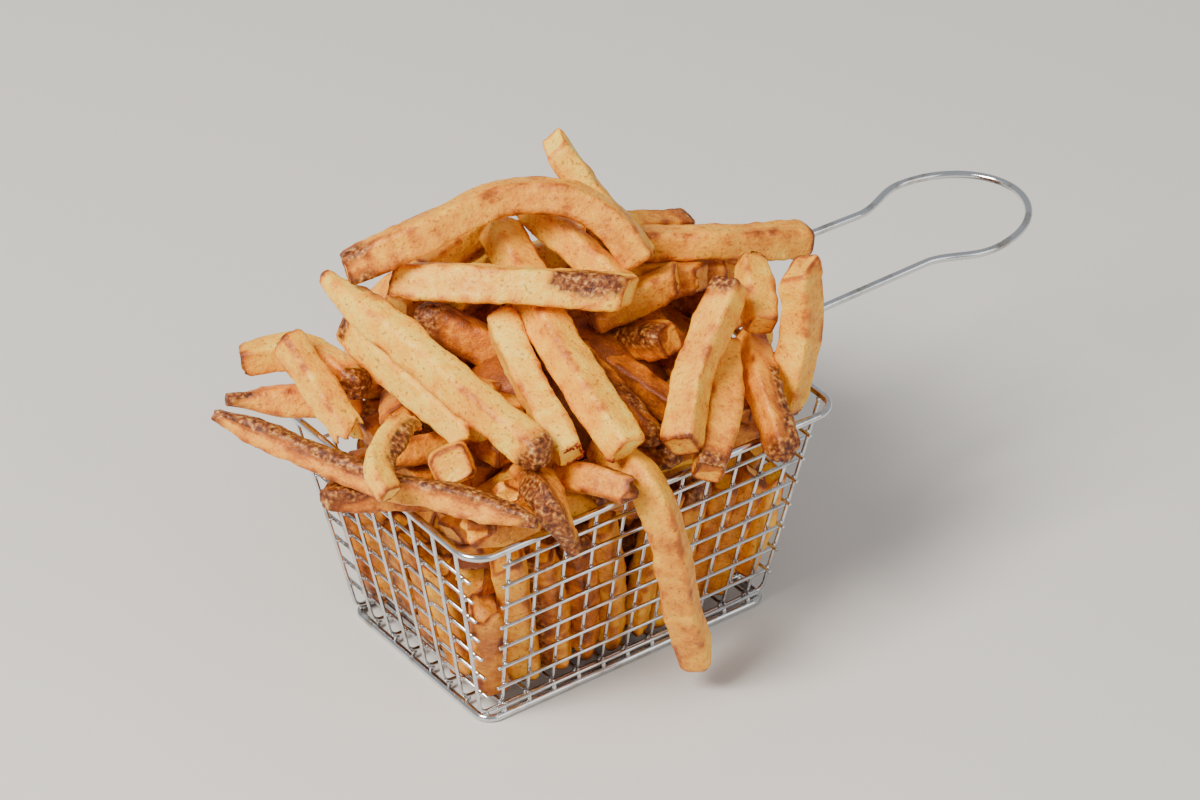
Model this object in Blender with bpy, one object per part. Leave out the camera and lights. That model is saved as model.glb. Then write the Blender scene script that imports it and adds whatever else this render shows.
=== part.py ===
"""Hand-cut, skin-on french fries heaped in a chromed mini fryer basket with a loop handle.

The model is in metres with +Z up. The handle points along +X, the part stands on z = 0, and
its bounding box is centred on x = 0 and y = 0. The sizes and places below are in millimetres,
measured from the middle of the basket's footprint and from the plane that it stands on.

The basket is one sheet of welded wire mesh, folded up into a tub. Its lengthwise wires lie on
the outside and its crosswise wires on the inside, on the floor and on all four walls.
"""

import math

import bmesh
import bpy
from mathutils import Vector

MM = 0.001
GAP = 0.3

# Wires
FRAME_WIRE = 2.2
MESH_WIRE = 1.1
FRAME_WIRE_ROUNDNESS = 2
MESH_WIRE_ROUNDNESS = 1
MESH_STEP = MESH_WIRE + GAP

# Rim and base frame, to the middle of their wires
RIM_LENGTH = 120.0
RIM_WIDTH = 90.0
RIM_CORNER = 7.0
BASE_LENGTH = 94.0
BASE_WIDTH = 62.6
BASE_CORNER = 4.5
BASKET_DEPTH = 66.0
BASE_HEIGHT = FRAME_WIRE / 2
RIM_HEIGHT = BASE_HEIGHT + BASKET_DEPTH
CORNER_STEPS = 5

# Mesh: the outermost wires' distance from the middle, at the rim and at the floor
CROSS_WIRES = 11
CROSS_SPREAD_RIM = 47.3
CROSS_SPREAD_FLOOR = 41.0
LONG_WIRES = 8
LONG_SPREAD_RIM = 37.0
LONG_SPREAD_FLOOR = 29.5
FLOOR_HEIGHT = BASE_HEIGHT + FRAME_WIRE / 2 + GAP + MESH_WIRE / 2
FOLD_RADIUS = 3.0
FOLD_STEPS = 2
WIRE_TOP = RIM_HEIGHT - FRAME_WIRE / 2 - GAP - MESH_WIRE / 4

# Rows round the walls, as shares of the basket's depth
SIDE_ROWS = 8
SIDE_ROW_TOP = 0.909
SIDE_ROW_PITCH = 0.122
SIDE_ROW_OVERHANG = 2.7
END_ROWS = 7
END_ROW_TOP = 0.821
END_ROW_PITCH = 0.113
END_ROW_OVERHANG = 2.5

# Handle: two legs up the end wall, a bend outwards, a narrow neck and a rounded loop
HANDLE_HEIGHT = 76.6
LEG_FOOT = 10.0
LEG_SPREAD = 15.9
LEG_OFFSET = FRAME_WIRE + GAP
HANDLE_BEND = 8.0
HANDLE_BEND_STEPS = 5
NECK_SPREAD = 14.9
NECK_END = 114.0
LOOP_MIDDLE = 133.0
LOOP_SPREAD = 20.6
LOOP_REACH = 25.0
SHOULDER_STEPS = 6
LOOP_STEPS = 14

# Core of the heap: it fills the tub behind the fries along its walls, and mounds up over the rim
CORE_FOOT = 9.0
CORE_INSET = 8.6
CORE_CORNER = 0.4
CORE_SIDES = 32
CORE_TUB_RINGS = 3
TUB_WAVINESS = 0.02
MOUND_WAVINESS = 0.035
# Bulges round a ring of the core, how far each turns per millimetre of height
WAVES = ((5, 1 / 7), (3, -1 / 11))
MOUND = (
    # height, then the ends of the ring along X and along Y
    (67.0, -50.0, 50.0, -36.0, 37.0),
    (73.0, -49.0, 50.0, -36.0, 38.0),
    (79.0, -42.0, 49.0, -33.0, 37.0),
    (85.0, -35.0, 45.0, -28.0, 35.0),
    (90.0, -28.0, 39.0, -20.0, 33.0),
    (94.0, -20.0, 33.0, -10.0, 30.0),
    (97.0, -10.0, 26.0, -1.0, 27.0),
)

# Fries that line the tub: one lies at the foot of each short wall, and the others stand
LINING_THICKNESS = 9.4
LINING_INSET = 7.6
LINING_FOOT = 7.6
LYING_ROWS = 1
LYING_PITCH = 10.4
LYING_SHORTER = 9.0
STANDING_PITCH = 15.0
STANDING_SHORTER = 10.0
STANDING_LENGTH = 45.0
STANDING_SHORT_LENGTH = 40.0
STANDING_SWING = 4.0
STANDING_SWING_TURN = 1.7
LEAN = math.radians(9)
LEAN_TURN = 0.55
# Each wall's axis, its side and where its wave of leaning fries starts
WALLS = {"right": (1, -1, 0.4), "left": (1, 1, 2.1), "front": (0, -1, 1.2), "back": (0, 1, 3.3)}

# Fries: thickness as seen, then the middle line
FRY_FILL = 0.93
FRY_CHAMFER = 0.2
FRIES = {
    "arch": (10.2, (
        (-43, 37, 108), (-25, 28, 116), (-2, 24, 121), (12, 15, 121), (21, 6, 115), (26, -2, 104))),
    "upright": (9.1, ((19, 28, 129), (23, 20, 118), (29, 14, 107), (34, 8, 97))),
    "to_handle": (9.6, ((32, 14, 99), (50, 4, 98), (65, 1, 94), (83, -1, 89))),
    "behind_handle_fry": (8.2, ((30, 30, 96), (41, 24, 96), (60, 20, 91))),
    "top_middle": (10.7, ((-31, 29, 104), (-13, 8, 107), (14, -13, 105))),
    "long_slope": (10.2, ((-47, 42, 106), (-41, 15, 98), (-36, -14, 90), (-31, -38, 83))),
    "second_slope": (10.7, ((-43, 35, 92), (-42, 13, 88), (-41, -15, 80))),
    "low_slope": (7.7, ((-32, 10, 73), (-30, -18, 73))),
    "centre_slope": (9.9, ((-11, 11, 95), (-17, -10, 88), (-22, -37, 80))),
    "long_centre": (10.7, ((3, 32, 106), (-1, 12, 99), (-5, -6, 95), (-10, -44, 81))),
    "ragged": (10.4, ((-60, 39, 91), (-59, 12, 76))),
    "bent": (9.9, ((-70, 47, 84), (-55, 41, 84), (-43, 19, 77))),
    "far_point": (9.3, ((-78, 43, 77), (-57, 32, 74), (-41, 24, 71))),
    "skin_strip": (8.0, ((-90, 29, 85), (-78, 7, 81), (-66, -17, 78), (-56, -30, 78), (-44, -51, 77))),
    "hook": (8.6, ((-44, -2, 83), (-56, -8, 88), (-67, -15, 88), (-73, -22, 88), (-74, -29, 86))),
    "stub": (11.8, ((-51, -24, 81), (-38, -6, 69))),
    "under_strip": (7.7, ((-79, -5, 73), (-44, -22, 72))),
    "corner": (8.8, ((-53, -36, 70), (-33, -34, 62))),
    "pointed": (9.3, ((-28, -25, 74), (-36, -46, 77), (-33, -53, 64))),
    "reddened": (9.9, ((-24, -38, 80), (-22, -44, 81), (-17, -55, 79))),
    "hanging": (10.4, (
        (-6, -27, 71), (-8, -46, 75), (-7, -54, 67), (-4, -56, 54), (0, -55, 34), (7, -53, 12))),
    "right_slope": (11.0, ((39, -25, 105), (21, -33, 89), (7, -46, 76))),
    "right_low": (9.9, ((37, -23, 83), (24, -40, 78), (10, -53, 72))),
    "right_cap": (11.5, ((55, -12, 99), (47, -28, 89))),
    "right_tip": (9.3, ((49, -19, 81), (39, -39, 79), (35, -55, 67))),
    "right_end": (10.7, ((56, -32, 107), (55, -34, 89), (48, -40, 74))),
    "brown_cap": (9.3, ((40, 12, 86), (49, 7, 87), (56, 1, 89))),
    "behind_middle": (9.4, ((11, 0, 90), (38, -1, 94))),
    "low_right": (9.9, ((28, -29, 68), (40, -34, 61))),
    "back_long": (9.5, ((-28, 40, 89), (22, 46, 85))),
    "back_right": (9.5, ((28, 38, 87), (62, 18, 81))),
    "back_over": (9.2, ((8, 36, 93), (18, 52, 76), (21, 55, 60))),
    "back_left": (9.2, ((-14, 44, 85), (-24, 54, 73), (-28, 54, 57))),
    "back_corner": (9.2, ((46, 22, 87), (60, 42, 78), (70, 54, 69))),
    "back_cross": (9.6, ((37, 40, 81), (-3, 50, 80))),
    "back_hanging": (9.0, ((33, 32, 86), (38, 52, 78), (39, 56, 58))),
    "back_slant": (9.8, ((-32, 34, 82), (-4, 57, 76))),
    "back_flat": (8.9, ((-14, 28, 94), (12, 46, 90))),
    "back_upper": (10.0, ((6, 24, 98), (44, 34, 88))),
    "end_over": (9.4, ((50, 22, 83), (71, 31, 74))),
    "end_short": (8.6, ((42, 4, 92), (66, 15, 80))),
    "end_cross": (9.3, ((57, 28, 76), (56, -6, 78))),
    "under_handle": (8.8, ((50, 18, 87), (60, 10, 84), (67, 4, 74), (67, 1, 61))),
}

# Looks of the solids
CHROME_COLOUR = (0.62, 0.62, 0.63, 1.0)
CHROME_ROUGHNESS = 0.12
POTATO_COLOUR = (0.75, 0.45, 0.14, 1.0)
POTATO_ROUGHNESS = 0.6


def clear_scene():
    """Remove every object that the opened file holds."""
    for obj in list(bpy.data.objects):
        bpy.data.objects.remove(obj, do_unlink=True)


def make_material(name, colour, metallic, roughness):
    """Return a Principled material of one colour."""
    material = bpy.data.materials.new(name)
    material.use_nodes = True
    shader = material.node_tree.nodes["Principled BSDF"]
    shader.inputs["Base Color"].default_value = colour
    shader.inputs["Metallic"].default_value = metallic
    shader.inputs["Roughness"].default_value = roughness
    return material


def add_object(name, data, parent):
    """Link an object that holds the data, under its parent."""
    obj = bpy.data.objects.new(name, data)
    obj.parent = parent
    bpy.context.scene.collection.objects.link(obj)
    return obj


def half_size(height, base_size, rim_size):
    """Return half the tub's size at a height, where base and rim have the sizes given."""
    share = (height - BASE_HEIGHT) / BASKET_DEPTH
    return (base_size + (rim_size - base_size) * share) / 2


def mesh_spread(height, at_floor, at_rim):
    """Return how far out the last wire of a fan lies at a height."""
    share = (height - BASE_HEIGHT) / BASKET_DEPTH
    return at_floor + (at_rim - at_floor) * share


def round_corner(before, corner, after, radius, steps):
    """Return points on the arc that rounds one corner of a bent wire."""
    back = (before - corner).normalized()
    ahead = (after - corner).normalized()
    half_angle = back.angle(ahead) / 2
    centre = corner + (back + ahead).normalized() * (radius / math.sin(half_angle))
    reach = radius / math.tan(half_angle)
    first = corner + back * reach - centre
    last = corner + ahead * reach - centre
    turn = math.pi - 2 * half_angle
    arc = []
    for step in range(steps + 1):
        share = step / steps
        weight_first = math.sin((1 - share) * turn) / math.sin(turn)
        weight_last = math.sin(share * turn) / math.sin(turn)
        arc.append(centre + first * weight_first + last * weight_last)
    return arc


def rounded_rectangle(length, width, height, corner_radius):
    """Return a closed wire's route round a rectangle with rounded corners."""
    corners = [
        Vector((sx * length / 2, sy * width / 2, height))
        for sx, sy in ((-1, -1), (1, -1), (1, 1), (-1, 1))
    ]
    route = []
    for index, corner in enumerate(corners):
        before = corners[index - 1]
        after = corners[(index + 1) % len(corners)]
        route += round_corner(before, corner, after, corner_radius, CORNER_STEPS)
    return route


def add_wire(name, route, diameter, sides, material, parent, closed=False):
    """Add a round wire along a route, as a curve with a bevel."""
    curve = bpy.data.curves.new(name, "CURVE")
    curve.dimensions = "3D"
    curve.bevel_depth = diameter / 2 * MM
    curve.bevel_resolution = sides
    curve.use_fill_caps = True
    spline = curve.splines.new("POLY")
    spline.points.add(len(route) - 1)
    for point, place in zip(spline.points, route):
        point.co = (place.x * MM, place.y * MM, place.z * MM, 1.0)
    spline.use_cyclic_u = closed
    spline.use_smooth = True
    curve.materials.append(material)
    return add_object(name, curve, parent)


def add_frames(material, parent):
    """Add the rim and the base frame, each one closed ring of thick wire."""
    rings = (
        ("rim", RIM_LENGTH, RIM_WIDTH, RIM_HEIGHT, RIM_CORNER),
        ("base_frame", BASE_LENGTH, BASE_WIDTH, BASE_HEIGHT, BASE_CORNER),
    )
    for name, length, width, height, corner in rings:
        route = rounded_rectangle(length, width, height, corner)
        add_wire(name, route, FRAME_WIRE, FRAME_WIRE_ROUNDNESS, material, parent, closed=True)


def folded_route(top_out, top_along, floor_out, floor_along, floor_height, lengthwise):
    """Return the route of a mesh wire that runs down a wall, over the floor and up again."""
    corners = [
        (-top_out, top_along, WIRE_TOP),
        (-floor_out, floor_along, floor_height),
        (floor_out, floor_along, floor_height),
        (top_out, top_along, WIRE_TOP),
    ]
    if not lengthwise:
        corners = [(along, out, height) for out, along, height in corners]
    points = [Vector(corner) for corner in corners]
    route = [points[0]]
    for before, corner, after in zip(points, points[1:], points[2:]):
        route += round_corner(before, corner, after, FOLD_RADIUS, FOLD_STEPS)
    route.append(points[-1])
    return route


def add_folded_wires(material, parent):
    """Add the mesh wires that are folded with the sheet, up two walls each."""
    cross_floor = FLOOR_HEIGHT + MESH_STEP
    for index in range(LONG_WIRES):
        along = 2 * index / (LONG_WIRES - 1) - 1
        route = folded_route(
            half_size(WIRE_TOP, BASE_LENGTH, RIM_LENGTH),
            along * mesh_spread(WIRE_TOP, LONG_SPREAD_FLOOR, LONG_SPREAD_RIM),
            half_size(FLOOR_HEIGHT, BASE_LENGTH, RIM_LENGTH),
            along * LONG_SPREAD_FLOOR,
            FLOOR_HEIGHT,
            lengthwise=True,
        )
        add_wire(f"lengthwise_wire_{index + 1}", route, MESH_WIRE, MESH_WIRE_ROUNDNESS, material, parent)
    inset = inner_inset(BASE_WIDTH, RIM_WIDTH)
    for index in range(CROSS_WIRES):
        along = 2 * index / (CROSS_WIRES - 1) - 1
        route = folded_route(
            half_size(WIRE_TOP, BASE_WIDTH, RIM_WIDTH) - inset,
            along * mesh_spread(WIRE_TOP, CROSS_SPREAD_FLOOR, CROSS_SPREAD_RIM),
            half_size(cross_floor, BASE_WIDTH, RIM_WIDTH) - inset,
            along * CROSS_SPREAD_FLOOR,
            cross_floor,
            lengthwise=False,
        )
        add_wire(f"crosswise_wire_{index + 1}", route, MESH_WIRE, MESH_WIRE_ROUNDNESS, material, parent)


def inner_inset(base_size, rim_size):
    """Return how far inside a leaning wall, measured level, its inner wires lie."""
    lean = math.atan2((rim_size - base_size) / 2, BASKET_DEPTH)
    return MESH_STEP / math.cos(lean)


def add_wall_rows(material, parent):
    """Add the straight wires that run level round the walls, a row above another."""
    for row in range(SIDE_ROWS):
        height = BASE_HEIGHT + BASKET_DEPTH * (SIDE_ROW_TOP - SIDE_ROW_PITCH * row)
        reach = mesh_spread(height, CROSS_SPREAD_FLOOR, CROSS_SPREAD_RIM) + SIDE_ROW_OVERHANG
        out = half_size(height, BASE_WIDTH, RIM_WIDTH)
        for side, sign in (("right", -1), ("left", 1)):
            route = [Vector((end * reach, sign * out, height)) for end in (-1, 1)]
            add_wire(f"{side}_row_{row + 1}", route, MESH_WIRE, MESH_WIRE_ROUNDNESS, material, parent)
    inset = inner_inset(BASE_LENGTH, RIM_LENGTH)
    for row in range(END_ROWS):
        height = BASE_HEIGHT + BASKET_DEPTH * (END_ROW_TOP - END_ROW_PITCH * row)
        reach = mesh_spread(height, LONG_SPREAD_FLOOR, LONG_SPREAD_RIM) + END_ROW_OVERHANG
        out = half_size(height, BASE_LENGTH, RIM_LENGTH) - inset
        for side, sign in (("front", -1), ("back", 1)):
            route = [Vector((sign * out, end * reach, height)) for end in (-1, 1)]
            add_wire(f"{side}_row_{row + 1}", route, MESH_WIRE, MESH_WIRE_ROUNDNESS, material, parent)


def handle_half_route():
    """Return one half of the handle's route, from a leg's foot to the tip of the loop."""
    foot_x = half_size(LEG_FOOT, BASE_LENGTH, RIM_LENGTH) + LEG_OFFSET
    bend_x = half_size(HANDLE_HEIGHT, BASE_LENGTH, RIM_LENGTH) + LEG_OFFSET
    foot = Vector((foot_x, LEG_SPREAD, LEG_FOOT))
    bend = Vector((bend_x, LEG_SPREAD, HANDLE_HEIGHT))
    neck_end = Vector((NECK_END, NECK_SPREAD, HANDLE_HEIGHT))
    route = [foot]
    route += round_corner(foot, bend, neck_end, HANDLE_BEND, HANDLE_BEND_STEPS)
    for step in range(SHOULDER_STEPS):
        share = step / SHOULDER_STEPS
        ease = (1 - math.cos(math.pi * share)) / 2
        x = NECK_END + (LOOP_MIDDLE - NECK_END) * share
        route.append(Vector((x, NECK_SPREAD + (LOOP_SPREAD - NECK_SPREAD) * ease, HANDLE_HEIGHT)))
    for step in range(LOOP_STEPS // 2 + 1):
        angle = math.pi * step / LOOP_STEPS
        x = LOOP_MIDDLE + LOOP_REACH * math.sin(angle)
        route.append(Vector((x, LOOP_SPREAD * math.cos(angle), HANDLE_HEIGHT)))
    return route


def add_handle(material, parent):
    """Add the handle, one wire from the foot of one leg round the loop to the other."""
    half = handle_half_route()
    mirrored = [Vector((place.x, -place.y, place.z)) for place in reversed(half[:-1])]
    add_wire("handle", half + mirrored, FRAME_WIRE, FRAME_WIRE_ROUNDNESS, material, parent)


def fry_section(thickness):
    """Return the outline of a square section with its corners taken off."""
    half = thickness * FRY_FILL / 2
    inner = half - thickness * FRY_CHAMFER
    corners = ((half, inner), (inner, half))
    outline = []
    for turn in range(4):
        angle = turn * math.pi / 2
        for u, v in corners:
            across = u * math.cos(angle) - v * math.sin(angle)
            up = u * math.sin(angle) + v * math.cos(angle)
            outline.append((across, up))
    return outline


def loft(rings, name):
    """Return a mesh through rings of places, with both ends closed."""
    shape = bmesh.new()
    layers = [[shape.verts.new(place * MM) for place in ring] for ring in rings]
    count = len(layers[0])
    for low, high in zip(layers, layers[1:]):
        for index in range(count):
            following = (index + 1) % count
            shape.faces.new((low[index], low[following], high[following], high[index]))
    shape.faces.new(layers[0][::-1])
    shape.faces.new(layers[-1])
    bmesh.ops.triangulate(shape, faces=shape.faces)
    bmesh.ops.recalc_face_normals(shape, faces=shape.faces)
    mesh = bpy.data.meshes.new(name)
    shape.to_mesh(mesh)
    shape.free()
    return mesh


def fry_mesh(name, thickness, points):
    """Return a bent square stick with its long edges taken off, along a fry's middle line."""
    axis = [Vector(point) for point in points]
    outline = fry_section(thickness)
    normal = Vector((0.0, 0.0, 1.0))
    rings = []
    for index, place in enumerate(axis):
        before = axis[max(index - 1, 0)]
        after = axis[min(index + 1, len(axis) - 1)]
        forward = (after - before).normalized()
        normal = (normal - forward * normal.dot(forward)).normalized()
        across = forward.cross(normal)
        rings.append([place + across * u + normal * v for u, v in outline])
    return loft(rings, name)


def lining_fries():
    """Return the name, the two ends and the way out of the wall of each fry that lines the tub."""
    sizes = ((BASE_LENGTH, RIM_LENGTH), (BASE_WIDTH, RIM_WIDTH))
    fries = []
    for wall, (axis, side, phase) in WALLS.items():
        other = 1 - axis
        rise = (sizes[axis][1] - sizes[axis][0]) / 2 / BASKET_DEPTH
        lying = LYING_ROWS if axis == 0 else 0
        foot = LINING_FOOT + lying * LYING_PITCH
        longest = STANDING_SHORT_LENGTH if lying else STANDING_LENGTH
        reach = half_size(foot, *sizes[other]) - STANDING_SHORTER
        standing = int(2 * reach / STANDING_PITCH) + 1
        out = Vector((0.0, 0.0, 0.0))
        out[axis] = side
        for index in range(lying + standing):
            heading = Vector((0.0, 0.0, 0.0))
            middle = Vector((0.0, 0.0, 0.0))
            if index < lying:
                middle.z = LINING_FOOT + LYING_PITCH * (index + 0.5)
                length = 2 * (half_size(middle.z, *sizes[other]) - LYING_SHORTER)
                heading[other] = 1.0
            else:
                turn = index - lying
                lean = LEAN * math.sin(LEAN_TURN * turn + phase)
                length = longest + STANDING_SWING * math.sin(STANDING_SWING_TURN * turn + phase)
                middle[other] = reach * (2 * turn / (standing - 1) - 1)
                middle.z = foot + length / 2
                heading[other] = math.sin(lean)
                heading[axis] = side * rise * math.cos(lean)
                heading.z = math.cos(lean)
            middle[axis] = side * (half_size(middle.z, *sizes[axis]) - LINING_INSET)
            step = heading.normalized() * length / 2
            fries.append((f"{wall}_lining_{index + 1}", middle - step, middle + step, out))
    return fries


def stick_mesh(name, start, end, out):
    """Return a straight square stick with one face turned to the wall that it lines."""
    forward = (end - start).normalized()
    normal = (out - forward * out.dot(forward)).normalized() * LINING_THICKNESS / 2
    across = forward.cross(normal)
    corners = (across + normal, normal - across, -across - normal, across - normal)
    return loft([[place + corner for corner in corners] for place in (start, end)], name)


def core_ring(height, x_ends, y_ends, waviness):
    """Return one level ring of the core, an uneven rounded rectangle."""
    middle_x = sum(x_ends) / 2
    middle_y = sum(y_ends) / 2
    ring = []
    for index in range(CORE_SIDES):
        angle = 2 * math.pi * index / CORE_SIDES
        wave = sum(math.sin(count * angle + turn * height) for count, turn in WAVES)
        grow = 1 - waviness * (1 + wave / len(WAVES))
        x = math.copysign(abs(math.cos(angle)) ** CORE_CORNER, math.cos(angle))
        y = math.copysign(abs(math.sin(angle)) ** CORE_CORNER, math.sin(angle))
        reach_x = x * (x_ends[1] - middle_x) * grow
        reach_y = y * (y_ends[1] - middle_y) * grow
        ring.append(Vector((middle_x + reach_x, middle_y + reach_y, height)))
    return ring


def core_mesh():
    """Return the core, which fills the tub and mounds up over its rim."""
    rings = []
    tub_top = MOUND[0][0]
    for index in range(CORE_TUB_RINGS):
        height = CORE_FOOT + (tub_top - CORE_FOOT) * index / CORE_TUB_RINGS
        reach_x = half_size(height, BASE_LENGTH, RIM_LENGTH) - CORE_INSET
        reach_y = half_size(height, BASE_WIDTH, RIM_WIDTH) - CORE_INSET
        rings.append(core_ring(height, (-reach_x, reach_x), (-reach_y, reach_y), TUB_WAVINESS))
    for height, low_x, high_x, low_y, high_y in MOUND:
        rings.append(core_ring(height, (low_x, high_x), (low_y, high_y), MOUND_WAVINESS))
    return loft(rings, "fries")


def add_fries(material, parent):
    """Add the heap, one solid: the core joined with the fries that lie on it."""
    heap = add_object("fries", core_mesh(), parent)
    heap.data.materials.append(material)
    meshes = {name: stick_mesh(name, start, end, out) for name, start, end, out in lining_fries()}
    meshes.update((name, fry_mesh(name, *fry)) for name, fry in FRIES.items())
    for name, mesh in meshes.items():
        fry = add_object(f"join_{name}", mesh, parent)
        fry.hide_render = True
        fry.display_type = "WIRE"
        join = heap.modifiers.new(name, "BOOLEAN")
        join.operation = "UNION"
        join.solver = "EXACT"
        join.object = fry
    return heap


def centre_on_origin(root):
    """Shift the part so that it stands on z = 0 with its box centred on the origin."""
    bpy.context.view_layer.update()
    graph = bpy.context.evaluated_depsgraph_get()
    places = []
    for obj in root.children:
        if not obj.hide_render:
            evaluated = obj.evaluated_get(graph)
            mesh = evaluated.to_mesh()
            places += [obj.matrix_world @ vertex.co for vertex in mesh.vertices]
            evaluated.to_mesh_clear()
    low = Vector(min(place[axis] for place in places) for axis in range(3))
    high = Vector(max(place[axis] for place in places) for axis in range(3))
    root.location = (-(low.x + high.x) / 2, -(low.y + high.y) / 2, -low.z)


def build():
    """Build the whole part."""
    clear_scene()
    root = add_object("part_origin", None, None)
    chrome_frame = make_material("chromed_frame_wire", CHROME_COLOUR, 1.0, CHROME_ROUGHNESS)
    chrome_mesh = make_material("chromed_mesh_wire", CHROME_COLOUR, 1.0, CHROME_ROUGHNESS)
    potato = make_material("fried_potato", POTATO_COLOUR, 0.0, POTATO_ROUGHNESS)
    add_frames(chrome_frame, root)
    add_folded_wires(chrome_mesh, root)
    add_wall_rows(chrome_mesh, root)
    add_handle(chrome_frame, root)
    add_fries(potato, root)
    centre_on_origin(root)


build()
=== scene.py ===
"""Hand-cut, skin-on french fries heaped in a chromed mini wire fryer basket.

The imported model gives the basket's place and size. Each of its wires is drawn again as a smooth,
round, chromed tube with its spot welds, and the one solid heap becomes separate fries, which are
settled against each other, the wires and a smaller core, until they only press into each other.
Sizes in this file are in millimetres unless a name says otherwise.
"""

import logging
import math
from dataclasses import dataclass, field
from enum import Enum

import bpy
import numpy as np
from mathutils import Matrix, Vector


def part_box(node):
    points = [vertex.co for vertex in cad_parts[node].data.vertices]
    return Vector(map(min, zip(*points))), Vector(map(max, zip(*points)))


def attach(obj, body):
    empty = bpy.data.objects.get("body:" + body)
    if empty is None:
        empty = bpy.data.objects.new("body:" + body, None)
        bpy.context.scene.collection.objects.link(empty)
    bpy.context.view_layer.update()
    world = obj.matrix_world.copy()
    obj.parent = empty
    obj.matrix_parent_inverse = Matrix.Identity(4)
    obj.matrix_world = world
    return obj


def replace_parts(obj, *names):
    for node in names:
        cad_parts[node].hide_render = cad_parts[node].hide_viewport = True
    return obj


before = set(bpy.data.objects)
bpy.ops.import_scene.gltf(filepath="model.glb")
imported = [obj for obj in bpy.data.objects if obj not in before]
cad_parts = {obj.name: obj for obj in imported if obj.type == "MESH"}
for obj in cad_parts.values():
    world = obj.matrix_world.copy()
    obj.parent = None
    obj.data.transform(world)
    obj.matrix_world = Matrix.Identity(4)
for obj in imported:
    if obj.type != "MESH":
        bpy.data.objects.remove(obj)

MM = 0.001
BODY = "root"
LOG = logging.getLogger("fries_basket")
Colour = tuple[float, float, float, float]
Point = tuple[float, float, float]
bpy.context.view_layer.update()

# From the food towards the eye of someone who stands in front of it
TOWARDS_EYE: Point = (-0.4857, -0.6630, 0.5696)


# ---------------- small tools


def linear(hex_code: str) -> Colour:
    """Turn an sRGB hex colour into a linear one.

    Args:
        hex_code: Six hex digits, with or without a leading hash sign.

    Returns:
        Red, green, blue and an alpha of 1, in linear light.
    """
    digits = hex_code.lstrip("#")
    channels = [int(digits[start:start + 2], 16) / 255 for start in (0, 2, 4)]
    red, green, blue = [
        value / 12.92 if value <= 0.04045 else ((value + 0.055) / 1.055) ** 2.4
        for value in channels
    ]
    return red, green, blue, 1.0


def add_node(tree: bpy.types.NodeTree, kind: str, settings: dict | None = None,
             inputs: dict | None = None) -> bpy.types.Node:
    """Add a node with its settings, values and links.

    Args:
        tree: The node tree that takes the node.
        kind: The node's type name in Blender.
        settings: Attributes of the node, such as its operation.
        inputs: Value or output socket for each input, by the input's name or number.

    Returns:
        The new node.
    """
    node = tree.nodes.new(kind)
    for name, value in (settings or {}).items():
        setattr(node, name, value)
    for key, value in (inputs or {}).items():
        if isinstance(value, bpy.types.NodeSocket):
            tree.links.new(value, node.inputs[key])
        else:
            node.inputs[key].default_value = value
    return node


def new_material(name: str) -> tuple[bpy.types.Material, bpy.types.NodeTree, bpy.types.Node]:
    """Start a material.

    Args:
        name: Its name.

    Returns:
        The material, its node tree and its shader.
    """
    material = bpy.data.materials.new(name)
    material.use_nodes = True
    return material, material.node_tree, material.node_tree.nodes["Principled BSDF"]


def from_middle(index: int, count: int) -> float:
    """Return where the item of a row lies, from -1 at its first to 1 at its last."""
    return 2 * index / (count - 1) - 1


def value_noise(places: np.ndarray, lump: float, seed: int) -> np.ndarray:
    """Return smooth noise between -1 and 1 at places.

    Args:
        places: Points, one to a row.
        lump: Size of one lump, in the points' own unit.
        seed: Chooses the pattern.

    Returns:
        One value for each point.
    """
    cell = places / lump
    low = np.floor(cell).astype(np.int64)
    part = cell - low
    blend = part * part * (3 - 2 * part)
    total = np.zeros(len(places))
    for corner in range(8):
        step = np.array([(corner >> axis) & 1 for axis in range(3)])
        key = low + step
        mixed = (key[:, 0] * 73856093) ^ (key[:, 1] * 19349663) ^ (key[:, 2] * 83492791)
        mixed = (mixed ^ (seed * 40503 + 977)) * 1274126177
        mixed = (mixed ^ (mixed >> 15)) * 2246822519
        height = ((mixed >> 9) & 0xFFFF) / 32767.5 - 1
        weight = np.prod(np.where(step == 1, blend, 1 - blend), axis=1)
        total += weight * height
    return total


def smooth_step(value: np.ndarray, low: float, high: float) -> np.ndarray:
    """Return 0 below low, 1 above high and a smooth rise between them."""
    share = np.clip((value - low) / (high - low), 0, 1)
    return share * share * (3 - 2 * share)


def unit(vectors: np.ndarray) -> np.ndarray:
    """Return vectors, one to a row, at length 1."""
    return vectors / np.maximum(np.linalg.norm(vectors, axis=-1, keepdims=True), 1e-9)


def sampled(wanted: np.ndarray, places: np.ndarray, rows: np.ndarray) -> np.ndarray:
    """Return rows of three values, given at places, at the wanted places between them."""
    return np.column_stack([np.interp(wanted, places, rows[:, axis]) for axis in range(3)])


def smooth_route(points: np.ndarray, count: int) -> np.ndarray:
    """Return evenly spaced points on the smooth curve through a few points.

    Args:
        points: The curve's own points, one to a row.
        count: Number of points wanted.

    Returns:
        The points, one to a row, from the first to the last.
    """
    padded = np.vstack([2 * points[0] - points[1], points, 2 * points[-1] - points[-2]])
    dense = []
    for before, start, end, after in zip(padded, padded[1:], padded[2:], padded[3:]):
        t = np.linspace(0, 1, 24, endpoint=False)[:, None]
        pull = (end - before) * t + (2 * before - 5 * start + 4 * end - after) * t ** 2
        bend = (3 * start - before - 3 * end + after) * t ** 3
        dense.append(start + (pull + bend) / 2)
    dense.append(points[-1:])
    curve = np.vstack(dense)
    steps = np.linalg.norm(np.diff(curve, axis=0), axis=1)
    run = np.concatenate([[0], np.cumsum(steps)])
    return sampled(np.linspace(0, run[-1], count), run, curve)


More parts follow.
